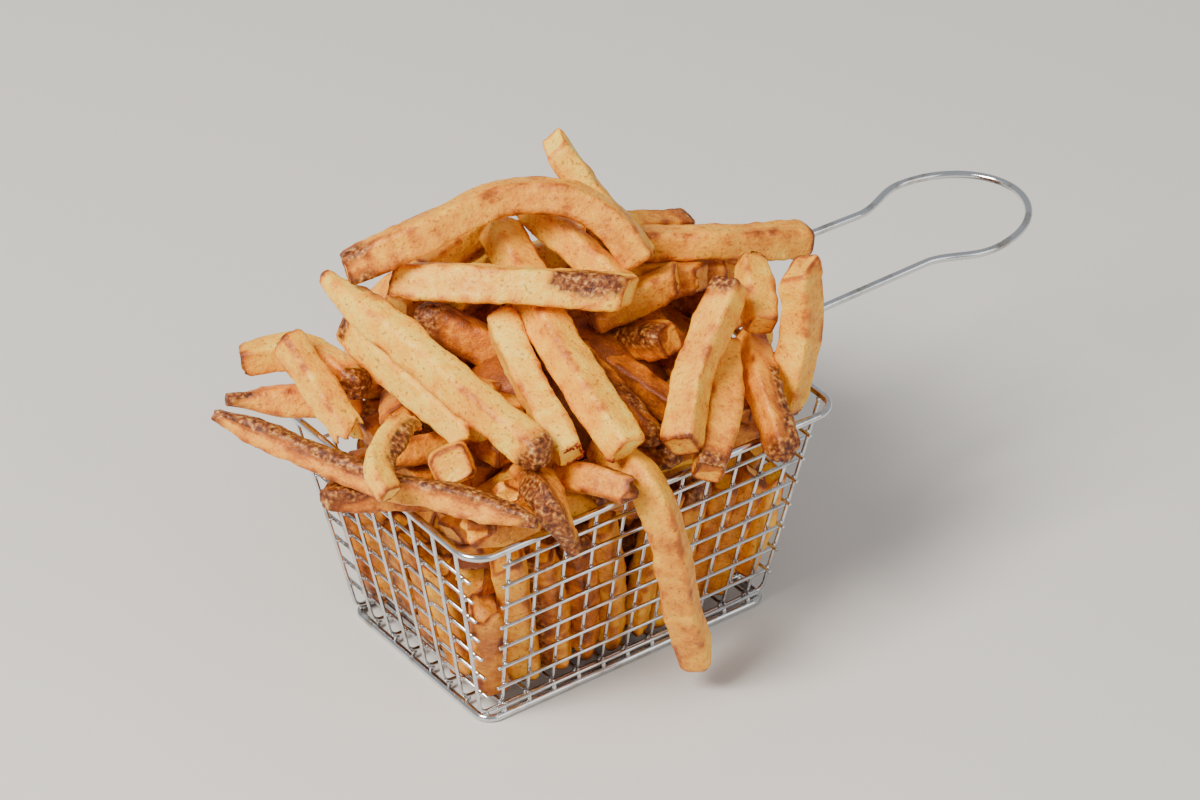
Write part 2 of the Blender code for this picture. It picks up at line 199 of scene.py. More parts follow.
def carried_frames(route: np.ndarray, closed: bool = False) -> tuple[np.ndarray, np.ndarray]:
    """Return two directions across a route at each of its points, carried along without twist.

    Args:
        route: Points, one to a row.
        closed: Whether the last point joins the first.

    Returns:
        The sideways and the upward directions, one to a row.
    """
    if closed:
        ahead = np.roll(route, -1, axis=0) - np.roll(route, 1, axis=0)
    else:
        ahead = np.gradient(route, axis=0)
    forward = unit(ahead)
    up = np.array([0.0, 0.0, 1.0])
    if abs(forward[0, 2]) > 0.95:
        up = np.array([0.0, 1.0, 0.0])
    ups = []
    for direction in forward:
        up = up - direction * up.dot(direction)
        up = up / np.linalg.norm(up)
        ups.append(up)
    ups = np.array(ups)
    return np.cross(forward, ups), ups


@dataclass
class MeshParts:
    """Vertices, faces and values that are collected into one mesh."""

    places: list[np.ndarray] = field(default_factory=list)
    faces: list[tuple[int, ...]] = field(default_factory=list)
    values: dict[str, list[np.ndarray]] = field(default_factory=dict)
    count: int = 0

    def add(self, places: np.ndarray, faces: list[tuple[int, ...]],
            values: dict[str, np.ndarray] | None = None) -> None:
        """Add one closed shape.

        Args:
            places: Its vertices, one to a row.
            faces: Its faces, as numbers of its own vertices.
            values: A value for each vertex, by attribute name.
        """
        shift = self.count
        self.places.append(places)
        self.faces += [tuple(index + shift for index in face) for face in faces]
        for name, column in (values or {}).items():
            self.values.setdefault(name, []).append(column)
        self.count += len(places)

    def to_piece(self, name: str, material: bpy.types.Material, slot: str) -> bpy.types.Object:
        """Make the object, smooth-shaded, riding on the body and with its material.

        Args:
            name: The piece's name.
            material: Its material.
            slot: Not used.

        Returns:
            The new object.
        """
        mesh = bpy.data.meshes.new(name)
        mesh.from_pydata((np.vstack(self.places) * MM).tolist(), [], self.faces)
        mesh.validate()
        for label, columns in self.values.items():
            layer = mesh.attributes.new(label, "FLOAT", "POINT")
            layer.data.foreach_set("value", np.concatenate(columns).astype(np.float32))
        mesh.shade_smooth()
        mesh.materials.append(material)
        piece = bpy.data.objects.new(name, mesh)
        bpy.context.scene.collection.objects.link(piece)
        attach(piece, BODY)
        LOG.info("%s: %d faces", name, len(self.faces))
        return piece


def ring_faces(rings: int, sides: int, closed: bool, first: int = 0) -> list[tuple[int, ...]]:
    """Return the quads between neighbouring rings of vertices.

    Args:
        rings: Number of rings.
        sides: Vertices in each ring.
        closed: Whether the last ring joins the first.
        first: Number of the first vertex.

    Returns:
        The faces.
    """
    faces = []
    for ring in range(rings if closed else rings - 1):
        low = first + ring * sides
        high = first + ((ring + 1) % rings) * sides
        for side in range(sides):
            following = (side + 1) % sides
            faces.append((low + side, low + following, high + following, high + side))
    return faces


# ---------------- materials


@dataclass(frozen=True)
class ChromePlate:
    """Bright chrome plate on drawn steel wire.

    The plate is a hard mirror, so the wires show streaks of the lights and of the pale floor.
    Fine drawing lines and dried splashes of frying oil break the mirror up a little.
    """

    name: str = "chrome_plate"
    bright: str = "D4D6D8"
    stained: str = "A89F93"
    splash_mm: float = 5.0
    smudge_mm: float = 1.2
    stain_range: tuple[float, float] = (0.52, 0.75)
    smudge_range: tuple[float, float] = (0.35, 0.75)
    polish: float = 0.09
    dull: float = 0.26

    def build(self) -> bpy.types.Material:
        """Return the material."""
        material, tree, shader = new_material(self.name)
        shader.inputs["Metallic"].default_value = 1.0
        place = add_node(tree, "ShaderNodeTexCoord")
        splash = add_node(tree, "ShaderNodeTexNoise", inputs={
            "Vector": place.outputs["Object"], "Scale": 1 / (self.splash_mm * MM), "Detail": 3.0,
        })
        smudge = add_node(tree, "ShaderNodeTexNoise", inputs={
            "Vector": place.outputs["Object"], "Scale": 1 / (self.smudge_mm * MM), "Detail": 2.0,
        })
        stain = add_node(tree, "ShaderNodeMapRange", inputs={
            "Value": splash.outputs["Fac"],
            "From Min": self.stain_range[0], "From Max": self.stain_range[1],
        })
        colour = add_node(tree, "ShaderNodeMix", {"data_type": "RGBA"}, {
            0: stain.outputs["Result"], 6: linear(self.bright), 7: linear(self.stained),
        })
        tree.links.new(colour.outputs[2], shader.inputs["Base Color"])
        gloss = add_node(tree, "ShaderNodeMapRange", inputs={
            "Value": smudge.outputs["Fac"],
            "From Min": self.smudge_range[0], "From Max": self.smudge_range[1],
            "To Min": self.polish, "To Max": self.dull,
        })
        tree.links.new(gloss.outputs["Result"], shader.inputs["Roughness"])
        return material


@dataclass(frozen=True)
class FriedPotato:
    """Hand-cut potato, deep-fried with its skin on.

    The starch crust is matt, pale yellow on the cut faces and deeper gold to orange along the long
    edges and the cut ends, where it dries first. Light enters it a little, so its shadows are warm.
    The skin is brown, dry and wrinkled, with pinkish patches where it has flaked.
    """

    name: str = "fried_potato_crust"
    faces: tuple[tuple[float, str], ...] = (
        (0.0, "FFD350"), (0.22, "FEB92A"), (0.46, "EE981A"), (0.7, "C4670B"), (1.0, "7A3605"))
    toasted: str = "642A08"
    skins: tuple[tuple[float, str], ...] = (
        (0.34, "4A1E06"), (0.48, "7A3A0D"), (0.58, "A26224"), (0.70, "CE9A58"))
    fleck: str = "9A4A0C"
    fleck_mm: float = 1.1
    speckle_mm: float = 0.7
    mottle_mm: float = 2.4
    grain_mm: float = 0.5
    pit_mm: float = 1.3
    mottle_swing: float = 0.52
    speckle_swing: float = 0.34
    fleck_range: tuple[float, float] = (0.60, 0.74)
    fleck_strength: float = 0.62
    oily: float = 0.36
    dry: float = 0.62
    pit_depth_mm: float = 0.45
    grain_depth_mm: float = 0.18
    bump: float = 0.9
    starch_ior: float = 1.45
    glow: float = 0.12
    glow_reach: Point = (1.0, 0.6, 0.25)
    glow_mm: float = 2.2

    def ramp(self, tree: bpy.types.NodeTree, value: bpy.types.NodeSocket,
             stops: tuple[tuple[float, str], ...]) -> bpy.types.Node:
        """Return a colour ramp through the stops, fed by a value.

        Args:
            tree: The node tree that takes it.
            value: The socket that feeds it.
            stops: Places from 0 to 1 with their colours.

        Returns:
            The ramp's node.
        """
        node = add_node(tree, "ShaderNodeValToRGB", inputs={"Fac": value})
        while len(node.color_ramp.elements) < len(stops):
            node.color_ramp.elements.new(0.5)
        for element, (place, colour) in zip(node.color_ramp.elements, stops):
            element.position = place
            element.color = linear(colour)
        return node

    def build(self) -> bpy.types.Material:
        """Return the material."""
        material, tree, shader = new_material(self.name)
        place = add_node(tree, "ShaderNodeTexCoord").outputs["Object"]
        gold, toast, skin = [
            add_node(tree, "ShaderNodeAttribute", {"attribute_name": label}).outputs["Fac"]
            for label in ("gold", "toast", "skin")
        ]
        flecks, speckle, mottle, grain, pits = [
            add_node(tree, "ShaderNodeTexNoise", inputs={
                "Vector": place, "Scale": 1 / (size * MM), "Detail": detail,
            }).outputs["Fac"]
            for size, detail in (
                (self.fleck_mm, 1.0), (self.speckle_mm, 2.0), (self.mottle_mm, 3.0),
                (self.grain_mm, 2.0), (self.pit_mm, 3.0))
        ]
        depth = gold
        for noise, strength in ((mottle, self.mottle_swing), (speckle, self.speckle_swing)):
            swing = add_node(tree, "ShaderNodeMapRange", {"clamp": False}, {
                "Value": noise, "To Min": -strength / 2, "To Max": strength / 2,
            })
            depth = add_node(tree, "ShaderNodeMath", {"operation": "ADD"}, {
                0: depth, 1: swing.outputs["Result"],
            }).outputs["Value"]
        crust = self.ramp(tree, depth, self.faces).outputs["Color"]
        # small flecks where the starch has browned first
        spots = add_node(tree, "ShaderNodeMapRange", inputs={
            "Value": flecks, "From Min": self.fleck_range[0], "From Max": self.fleck_range[1],
            "To Max": self.fleck_strength,
        })
        flecked = add_node(tree, "ShaderNodeMix", {"data_type": "RGBA"}, {
            0: spots.outputs["Result"], 6: crust, 7: linear(self.fleck),
        })
        browned = add_node(tree, "ShaderNodeMix", {"data_type": "RGBA"}, {
            0: toast, 6: flecked.outputs[2], 7: linear(self.toasted),
        })
        hide = self.ramp(tree, pits, self.skins).outputs["Color"]
        covered = add_node(tree, "ShaderNodeMix", {"data_type": "RGBA"}, {
            0: skin, 6: browned.outputs[2], 7: hide,
        })
        tree.links.new(covered.outputs[2], shader.inputs["Base Color"])
        gloss = add_node(tree, "ShaderNodeMapRange", inputs={
            "Value": mottle, "From Min": 0.35, "From Max": 0.65, "To Min": self.oily, "To Max": self.dry,
        })
        tree.links.new(gloss.outputs["Result"], shader.inputs["Roughness"])
        coarse = add_node(tree, "ShaderNodeBump", inputs={
            "Height": pits, "Distance": self.pit_depth_mm * MM, "Strength": self.bump,
        })
        fine = add_node(tree, "ShaderNodeBump", inputs={
            "Height": grain, "Distance": self.grain_depth_mm * MM, "Strength": self.bump,
            "Normal": coarse.outputs["Normal"],
        })
        tree.links.new(fine.outputs["Normal"], shader.inputs["Normal"])
        shader.inputs["IOR"].default_value = self.starch_ior
        shader.inputs["Subsurface Weight"].default_value = self.glow
        shader.inputs["Subsurface Radius"].default_value = self.glow_reach
        shader.inputs["Subsurface Scale"].default_value = self.glow_mm * MM
        return material


@dataclass(frozen=True)
class GroundPaprika:
    """Coarsely ground dried chilli and paprika, matt and dark red where the oil has soaked it."""

    name: str = "ground_paprika"
    dark: str = "6E1A0A"
    red: str = "C23A1C"
    change_mm: float = 1.5
    roughness: float = 0.7

    def build(self) -> bpy.types.Material:
        """Return the material."""
        material, tree, shader = new_material(self.name)
        place = add_node(tree, "ShaderNodeTexCoord").outputs["Object"]
        change = add_node(tree, "ShaderNodeTexNoise", inputs={
            "Vector": place, "Scale": 1 / (self.change_mm * MM), "Detail": 1.0,
        })
        colour = add_node(tree, "ShaderNodeMix", {"data_type": "RGBA"}, {
            0: change.outputs["Fac"], 6: linear(self.dark), 7: linear(self.red),
        })
        tree.links.new(colour.outputs[2], shader.inputs["Base Color"])
        shader.inputs["Roughness"].default_value = self.roughness
        return material


# ---------------- the basket


@dataclass
class Basket:
    """The wire basket: its middle, its two frames and the layout of its mesh.

    A fan holds how far out its last wire lies at the floor and at the rim. Rows hold their number,
    the first one's share of the height, the step between them and how far they pass the last wire.
    """

    frame_wire: float = 2.2
    mesh_wire: float = 1.1
    gap: float = 0.3
    rim_corner: float = 7.0
    base_corner: float = 4.5
    cross_wires: int = 11
    cross_fan: tuple[float, float] = (41.0, 47.3)
    long_wires: int = 8
    long_fan: tuple[float, float] = (29.5, 37.0)
    fold_radius: float = 3.0
    side_rows: tuple[int, float, float, float] = (8, 0.909, 0.122, 2.7)
    end_rows: tuple[int, float, float, float] = (7, 0.821, 0.113, 2.5)
    handle_height: float = 76.6
    leg_foot: float = 10.0
    leg_spread: float = 15.9
    leg_welds: tuple[float, float] = (44.0, 18.0)
    handle_bend: float = 8.0
    neck_spread: float = 14.9
    neck_end: float = 114.0
    loop_middle: float = 133.0
    loop_spread: float = 20.6
    loop_reach: float = 25.0
    frame_sides: int = 24
    mesh_sides: int = 14
    middle: np.ndarray = field(init=False)
    rim_size: np.ndarray = field(init=False)
    base_size: np.ndarray = field(init=False)
    rim_height: float = field(init=False)
    base_height: float = field(init=False)

    def __post_init__(self) -> None:
        """Read the basket's place and the frames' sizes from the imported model."""
        rim_low, rim_high = (np.array(corner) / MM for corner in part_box("rim"))
        base_low, base_high = (np.array(corner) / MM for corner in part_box("base_frame"))
        self.middle = np.array([*(rim_low + rim_high)[:2] / 2, 0.0])
        self.rim_size = (rim_high - rim_low)[:2] - self.frame_wire
        self.base_size = (base_high - base_low)[:2] - self.frame_wire
        self.rim_height = (rim_low[2] + rim_high[2]) / 2
        self.base_height = (base_low[2] + base_high[2]) / 2

    @property
    def mesh_step(self) -> float:
        """Distance between the middles of two crossing mesh wires."""
        return self.mesh_wire + self.gap

    @property
    def floor_height(self) -> float:
        """Height of the lengthwise wires on the floor."""
        return self.base_height + self.frame_wire / 2 + self.gap + self.mesh_wire / 2

    @property
    def wire_top(self) -> float:
        """Height at which the folded wires end, just under the rim."""
        return self.rim_height - self.frame_wire / 2 - self.gap - self.mesh_wire / 4

    def share(self, height: float | np.ndarray) -> float | np.ndarray:
        """Return how far up from the base frame to the rim a height lies, from 0 to 1."""
        return (height - self.base_height) / (self.rim_height - self.base_height)

    def half(self, height: float | np.ndarray, axis: int) -> float | np.ndarray:
        """Return half the tub's size at a height, along X (0) or Y (1)."""
        base = self.base_size[axis]
        return (base + (self.rim_size[axis] - base) * self.share(height)) / 2

    def inset(self, axis: int) -> float:
        """Return how far inside a leaning wall, measured level, its inner wires lie."""
        rise = self.rim_height - self.base_height
        lean = math.atan2((self.rim_size[axis] - self.base_size[axis]) / 2, rise)
        return self.mesh_step / math.cos(lean)

    def spread(self, height: float, at_floor: float, at_rim: float) -> float:
        """Return how far out the last wire of a fan lies at a height."""
        return at_floor + (at_rim - at_floor) * self.share(height)

    def round_corner(self, before: np.ndarray, corner: np.ndarray, after: np.ndarray,
                     radius: float, steps: int) -> list[np.ndarray]:
        """Return points on the arc that rounds one corner of a bent wire.

        Args:
            before: A place on the wire before the corner.
            corner: The sharp corner.
            after: A place on the wire after it.
            radius: The bend's radius.
            steps: Number of steps along the arc.

        Returns:
            The points, one more than the steps.
        """
        back = unit((before - corner)[None])[0]
        ahead = unit((after - corner)[None])[0]
        half_angle = math.acos(float(np.clip(back.dot(ahead), -1, 1))) / 2
        centre = corner + unit((back + ahead)[None])[0] * radius / math.sin(half_angle)
        reach = radius / math.tan(half_angle)
        first = corner + back * reach - centre
        last = corner + ahead * reach - centre
        turn = math.pi - 2 * half_angle
        shares = np.linspace(0, 1, steps + 1)
        return [
            centre + (first * math.sin((1 - share) * turn) + last * math.sin(share * turn))
            / math.sin(turn)
            for share in shares
        ]

    def rectangle(self, size: np.ndarray, height: float, corner_radius: float) -> np.ndarray:
        """Return a closed wire's route round a rectangle with rounded corners.

        Args:
            size: Its size along X and Y.
            height: Its height.
            corner_radius: Radius of its corners.

        Returns:
            The route, one point to a row.
        """
        corners = [
            np.array([sx * size[0] / 2, sy * size[1] / 2, height])
            for sx, sy in ((-1, -1), (1, -1), (1, 1), (-1, 1))
        ]
        route = []
        for index, corner in enumerate(corners):
            following = corners[(index + 1) % len(corners)]
            route += self.round_corner(corners[index - 1], corner, following, corner_radius, 9)
        return np.array(route)

    def tube(self, parts: MeshParts, route: np.ndarray, diameter: float, sides: int,
             closed: bool = False) -> None:
        """Add a round wire along a route, with slightly rounded ends.

        Args:
            parts: The mesh that takes it.
            route: The wire's middle line, from the basket's middle.
            diameter: Its thickness.
            sides: Number of its sides.
            closed: Whether it is a ring.
        """
        across, up = carried_frames(route, closed)
        angles = np.linspace(0, 2 * math.pi, sides, endpoint=False)
        radius = diameter / 2
        reaches = np.full(len(route), radius)
        centres = route.copy()
        if not closed:
            # one more ring close to each end turns the edge of the cut
            edge = radius * 0.25
            starts = unit((route[1] - route[0])[None])[0] * edge
            ends = unit((route[-2] - route[-1])[None])[0] * edge
            centres = np.vstack([route[0], route[0] + starts, route[1:-1], route[-1] + ends, route[-1]])
            across = np.vstack([across[0], across[0], across[1:-1], across[-1], across[-1]])
            up = np.vstack([up[0], up[0], up[1:-1], up[-1], up[-1]])
            reaches = np.full(len(centres), radius)
            reaches[[0, -1]] = radius - edge
        ring = across[:, None] * np.cos(angles)[None, :, None] + up[:, None] * np.sin(angles)[None, :, None]
        places = (centres[:, None] + ring * reaches[:, None, None]).reshape(-1, 3) + self.middle
        faces = ring_faces(len(centres), sides, closed)
        if not closed:
            faces.append(tuple(range(sides))[::-1])
            faces.append(tuple(range(len(places) - sides, len(places))))
        parts.add(places, faces)

    def folded(self, index: int, lengthwise: bool) -> np.ndarray:
        """Return the route of a mesh wire that runs down a wall, over the floor and up again.

        Args:
            index: Its number in its family, from 0.
            lengthwise: Whether it runs along X over the floor.

        Returns:
            The route, one point to a row.
        """
        if lengthwise:
            along = from_middle(index, self.long_wires)
            fan = self.long_fan
            floor, axis, inset = self.floor_height, 0, 0.0
        else:
            along = from_middle(index, self.cross_wires)
            fan = self.cross_fan
            floor, axis, inset = self.floor_height + self.mesh_step, 1, self.inset(1)
        top_out = self.half(self.wire_top, axis) - inset
        floor_out = self.half(floor, axis) - inset
        top_along = along * self.spread(self.wire_top, *fan)
        floor_along = along * fan[0]
        corners = [
            np.array([-top_out, top_along, self.wire_top]), np.array([-floor_out, floor_along, floor]),
            np.array([floor_out, floor_along, floor]), np.array([top_out, top_along, self.wire_top]),
        ]
        if not lengthwise:
            corners = [corner[[1, 0, 2]] for corner in corners]
        route = [corners[0]]
        for before, corner, after in zip(corners, corners[1:], corners[2:]):
            route += self.round_corner(before, corner, after, self.fold_radius, 6)
        route.append(corners[-1])
        return np.array(route)

    def rows(self, long_side: bool) -> list[tuple[float, float, float]]:
        """Return height, half length and distance from the middle of each level wire of a wall.

        Args:
            long_side: Whether the wall is a long one.

        Returns:
            One triple for each wire, from the top down.
        """
        count, top, pitch, overhang = self.side_rows if long_side else self.end_rows
        fan = self.cross_fan if long_side else self.long_fan
        inset = 0.0 if long_side else self.inset(0)
        axis = 1 if long_side else 0
        layout = []
        for row in range(count):
            rise = self.rim_height - self.base_height
            height = self.base_height + rise * (top - pitch * row)
            layout.append((height, self.spread(height, *fan) + overhang, self.half(height, axis) - inset))
        return layout

    def handle_route(self) -> np.ndarray:
        """Return the handle's route, from the foot of one leg round the loop to the other."""
        offset = self.frame_wire + self.gap
        foot = np.array([self.half(self.leg_foot, 0) + offset, self.leg_spread, self.leg_foot])
        bend = np.array([self.half(self.handle_height, 0) + offset, self.leg_spread, self.handle_height])
        neck_end = np.array([self.neck_end, self.neck_spread, self.handle_height])
        half = [foot, (foot + bend) / 2]
        half += self.round_corner(foot, bend, neck_end, self.handle_bend, 10)
        half.append((half[-1] + neck_end) / 2)
        for share in np.linspace(0, 1, 12, endpoint=False):
            ease = (1 - math.cos(math.pi * share)) / 2
            x = self.neck_end + (self.loop_middle - self.neck_end) * share
            y = self.neck_spread + (self.loop_spread - self.neck_spread) * ease
            half.append(np.array([x, y, self.handle_height]))
        for angle in np.linspace(0, math.pi / 2, 16):
            x = self.loop_middle + self.loop_reach * math.sin(angle)
            half.append(np.array([x, self.loop_spread * math.cos(angle), self.handle_height]))
        other = [place * (1, -1, 1) for place in half[-2::-1]]
        return np.array(half + other)

    def nugget(self, parts: MeshParts, place: np.ndarray, reach: np.ndarray) -> None:
        """Add one spot weld, a small flattened blob between two wires.

        Args:
            parts: The mesh that takes it.
            place: Its middle, from the basket's middle.
            reach: Its half size along X, Y and Z.
        """
        rings, sides = 4, 8
        places = []
        for ring in range(1, rings):
            polar = math.pi * ring / rings
            for side in range(sides):
                turn = 2 * math.pi * side / sides
                places.append([math.sin(polar) * math.cos(turn), math.sin(polar) * math.sin(turn),
                               math.cos(polar)])
        places += [[0, 0, 1], [0, 0, -1]]
        faces = [face[::-1] for face in ring_faces(rings - 1, sides, False)]
        top, bottom = len(places) - 2, len(places) - 1
        last = (rings - 2) * sides
        for side in range(sides):
            following = (side + 1) % sides
            faces.append((top, side, following))
            faces.append((bottom, last + following, last + side))
        parts.add(np.array(places) * reach + place + self.middle, faces)

    def welds(self, parts: MeshParts) -> None:
        """Add the spot welds of the walls, the floor, the rim and the handle's legs.

        Args:
            parts: The mesh that takes them.
        """
        blob = np.full(3, 0.75)
        walls = ((True, self.cross_wires, self.cross_fan, -self.mesh_step / 2),
                 (False, self.long_wires, self.long_fan, self.mesh_step / 2))
        for long_side, count, fan, outward in walls:
            for height, _, out in self.rows(long_side):
                for index in range(count):
                    along = from_middle(index, count) * self.spread(height, *fan)
                    for sign in (-1, 1):
                        place = np.array([along, sign * (out + outward), height])
                        self.nugget(parts, place if long_side else place[[1, 0, 2]], blob)
        for index in range(self.cross_wires):
            x = from_middle(index, self.cross_wires) * self.cross_fan[0]
            for other in range(self.long_wires):
                y = from_middle(other, self.long_wires) * self.long_fan[0]
                self.nugget(parts, np.array([x, y, self.floor_height + self.mesh_step / 2]), blob)
        self.frame_welds(parts)

    def frame_welds(self, parts: MeshParts) -> None:
        """Add the welds that hold the mesh to rim and base frame, and the handle's legs to the wall.

        Args:
            parts: The mesh that takes them.
        """
        rim_joint = np.array([0.8, 0.8, 1.0])
        for index in range(self.cross_wires):
            along = from_middle(index, self.cross_wires)
            top_x = along * self.spread(self.wire_top, *self.cross_fan)
            for sign in (-1, 1):
                top_y = sign * (self.half(self.wire_top, 1) - self.inset(1) * 0.55)
                self.nugget(parts, np.array([top_x, top_y, self.wire_top + 0.3]), rim_joint)
                foot = np.array([along * self.cross_fan[0], sign * self.base_size[1] / 2,
                                 self.base_height + 1.6])
                self.nugget(parts, foot, np.array([0.8, 0.9, 1.5]))
        for index in range(self.long_wires):
            along = from_middle(index, self.long_wires)
            top_y = along * self.spread(self.wire_top, *self.long_fan)
            for sign in (-1, 1):
                top_x = sign * self.half(self.wire_top, 0)
                self.nugget(parts, np.array([top_x, top_y, self.wire_top + 0.3]), rim_joint)
                foot = np.array([sign * (self.base_size[0] / 2 - 1.4), along * self.long_fan[0],
                                 self.base_height + 1.0])
                self.nugget(parts, foot, np.array([1.0, 0.8, 1.0]))
        offset = self.frame_wire + self.gap
        for sign in (-1, 1):
            for height in (self.rim_height, *self.leg_welds):
                out = self.half(height, 0) + offset / 2
                self.nugget(parts, np.array([out, sign * self.leg_spread, height]),
                            np.array([1.2, 1.3, 1.6]))

    def build(self) -> None:
        """Make every piece of the basket and let it stand for its solid."""
        chrome = ChromePlate().build()
        rings = (("rim_wire", "rim", self.rim_size, self.rim_height, self.rim_corner),
                 ("base_wire", "base_frame", self.base_size, self.base_height, self.base_corner))
        for name, node, size, height, corner in rings:
            ring = MeshParts()
            self.tube(ring, self.rectangle(size, height, corner), self.frame_wire, self.frame_sides,
                      closed=True)
            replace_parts(ring.to_piece(name, chrome, "chrome"), node)
        handle = MeshParts()
        self.tube(handle, self.handle_route(), self.frame_wire, self.frame_sides)
        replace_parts(handle.to_piece("handle_wire", chrome, "chrome"), "handle")
        families = (("lengthwise", self.long_wires, True), ("crosswise", self.cross_wires, False))
        for family, count, lengthwise in families:
            wires = MeshParts()
            for index in range(count):
                self.tube(wires, self.folded(index, lengthwise), self.mesh_wire, self.mesh_sides)
            piece = wires.to_piece(f"{family}_wires", chrome, "chrome")
            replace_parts(piece, *(f"{family}_wire_{index + 1}" for index in range(count)))
        for long_side, sides in ((True, ("right", "left")), (False, ("front", "back"))):
            rows = MeshParts()
            layout = self.rows(long_side)
            for height, reach, out in layout:
                for sign in (-1, 1):
                    ends = [np.array([end * reach, sign * out, height]) for end in (-1, 0, 1)]
                    if not long_side:
                        ends = [end[[1, 0, 2]] for end in ends]
                    self.tube(rows, np.array(ends), self.mesh_wire, self.mesh_sides)
            piece = rows.to_piece("side_rows" if long_side else "end_rows", chrome, "chrome")
            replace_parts(piece, *(f"{side}_row_{row + 1}" for side in sides for row in range(len(layout))))
        spots = MeshParts()
        self.welds(spots)
        spots.to_piece("spot_welds", chrome, "chrome")


# ---------------- the fries


class Tip(Enum):
    """How a fry ends."""

    CUT = "cut straight across, its rim a little rounded by frying"
    SLANT = "cut at an angle"
    RAGGED = "broken off, uneven"
    SKIN = "the potato's own round end, with its skin"
    POINT = "runs out thin, with skin along it"
    SHARP = "runs out thin and bare"


@dataclass(frozen=True)
class SkinStrip:
    """A strip of potato skin along one side of a fry.

    The side is an angle in degrees round the fry: 0 is its right, seen along it, and 90 its top.
    The strip runs between two shares of the fry's length, and width is its share of that side.
    """

    side: float
    start: float = 0.0
    end: float = 1.0
    width: float = 1.0


@dataclass(frozen=True)
class Fry:
    """One fry: its middle line from the basket's middle, and how it looks.

    Both ends are cut straight across unless its tips say otherwise. Gold is how deep its colour is,
    and toast how browned its edges are, from 0 to 1.
    """

    name: str
    thickness: float
    points: tuple[Point, ...]
    tips: tuple[Tip, Tip] = (Tip.CUT, Tip.CUT)
    roll: float = 0.0
    flat: float = 1.0
    gold: float = 0.4
    toast: float = 0.3
    skin: tuple[SkinStrip, ...] = ()
    fine: bool = True


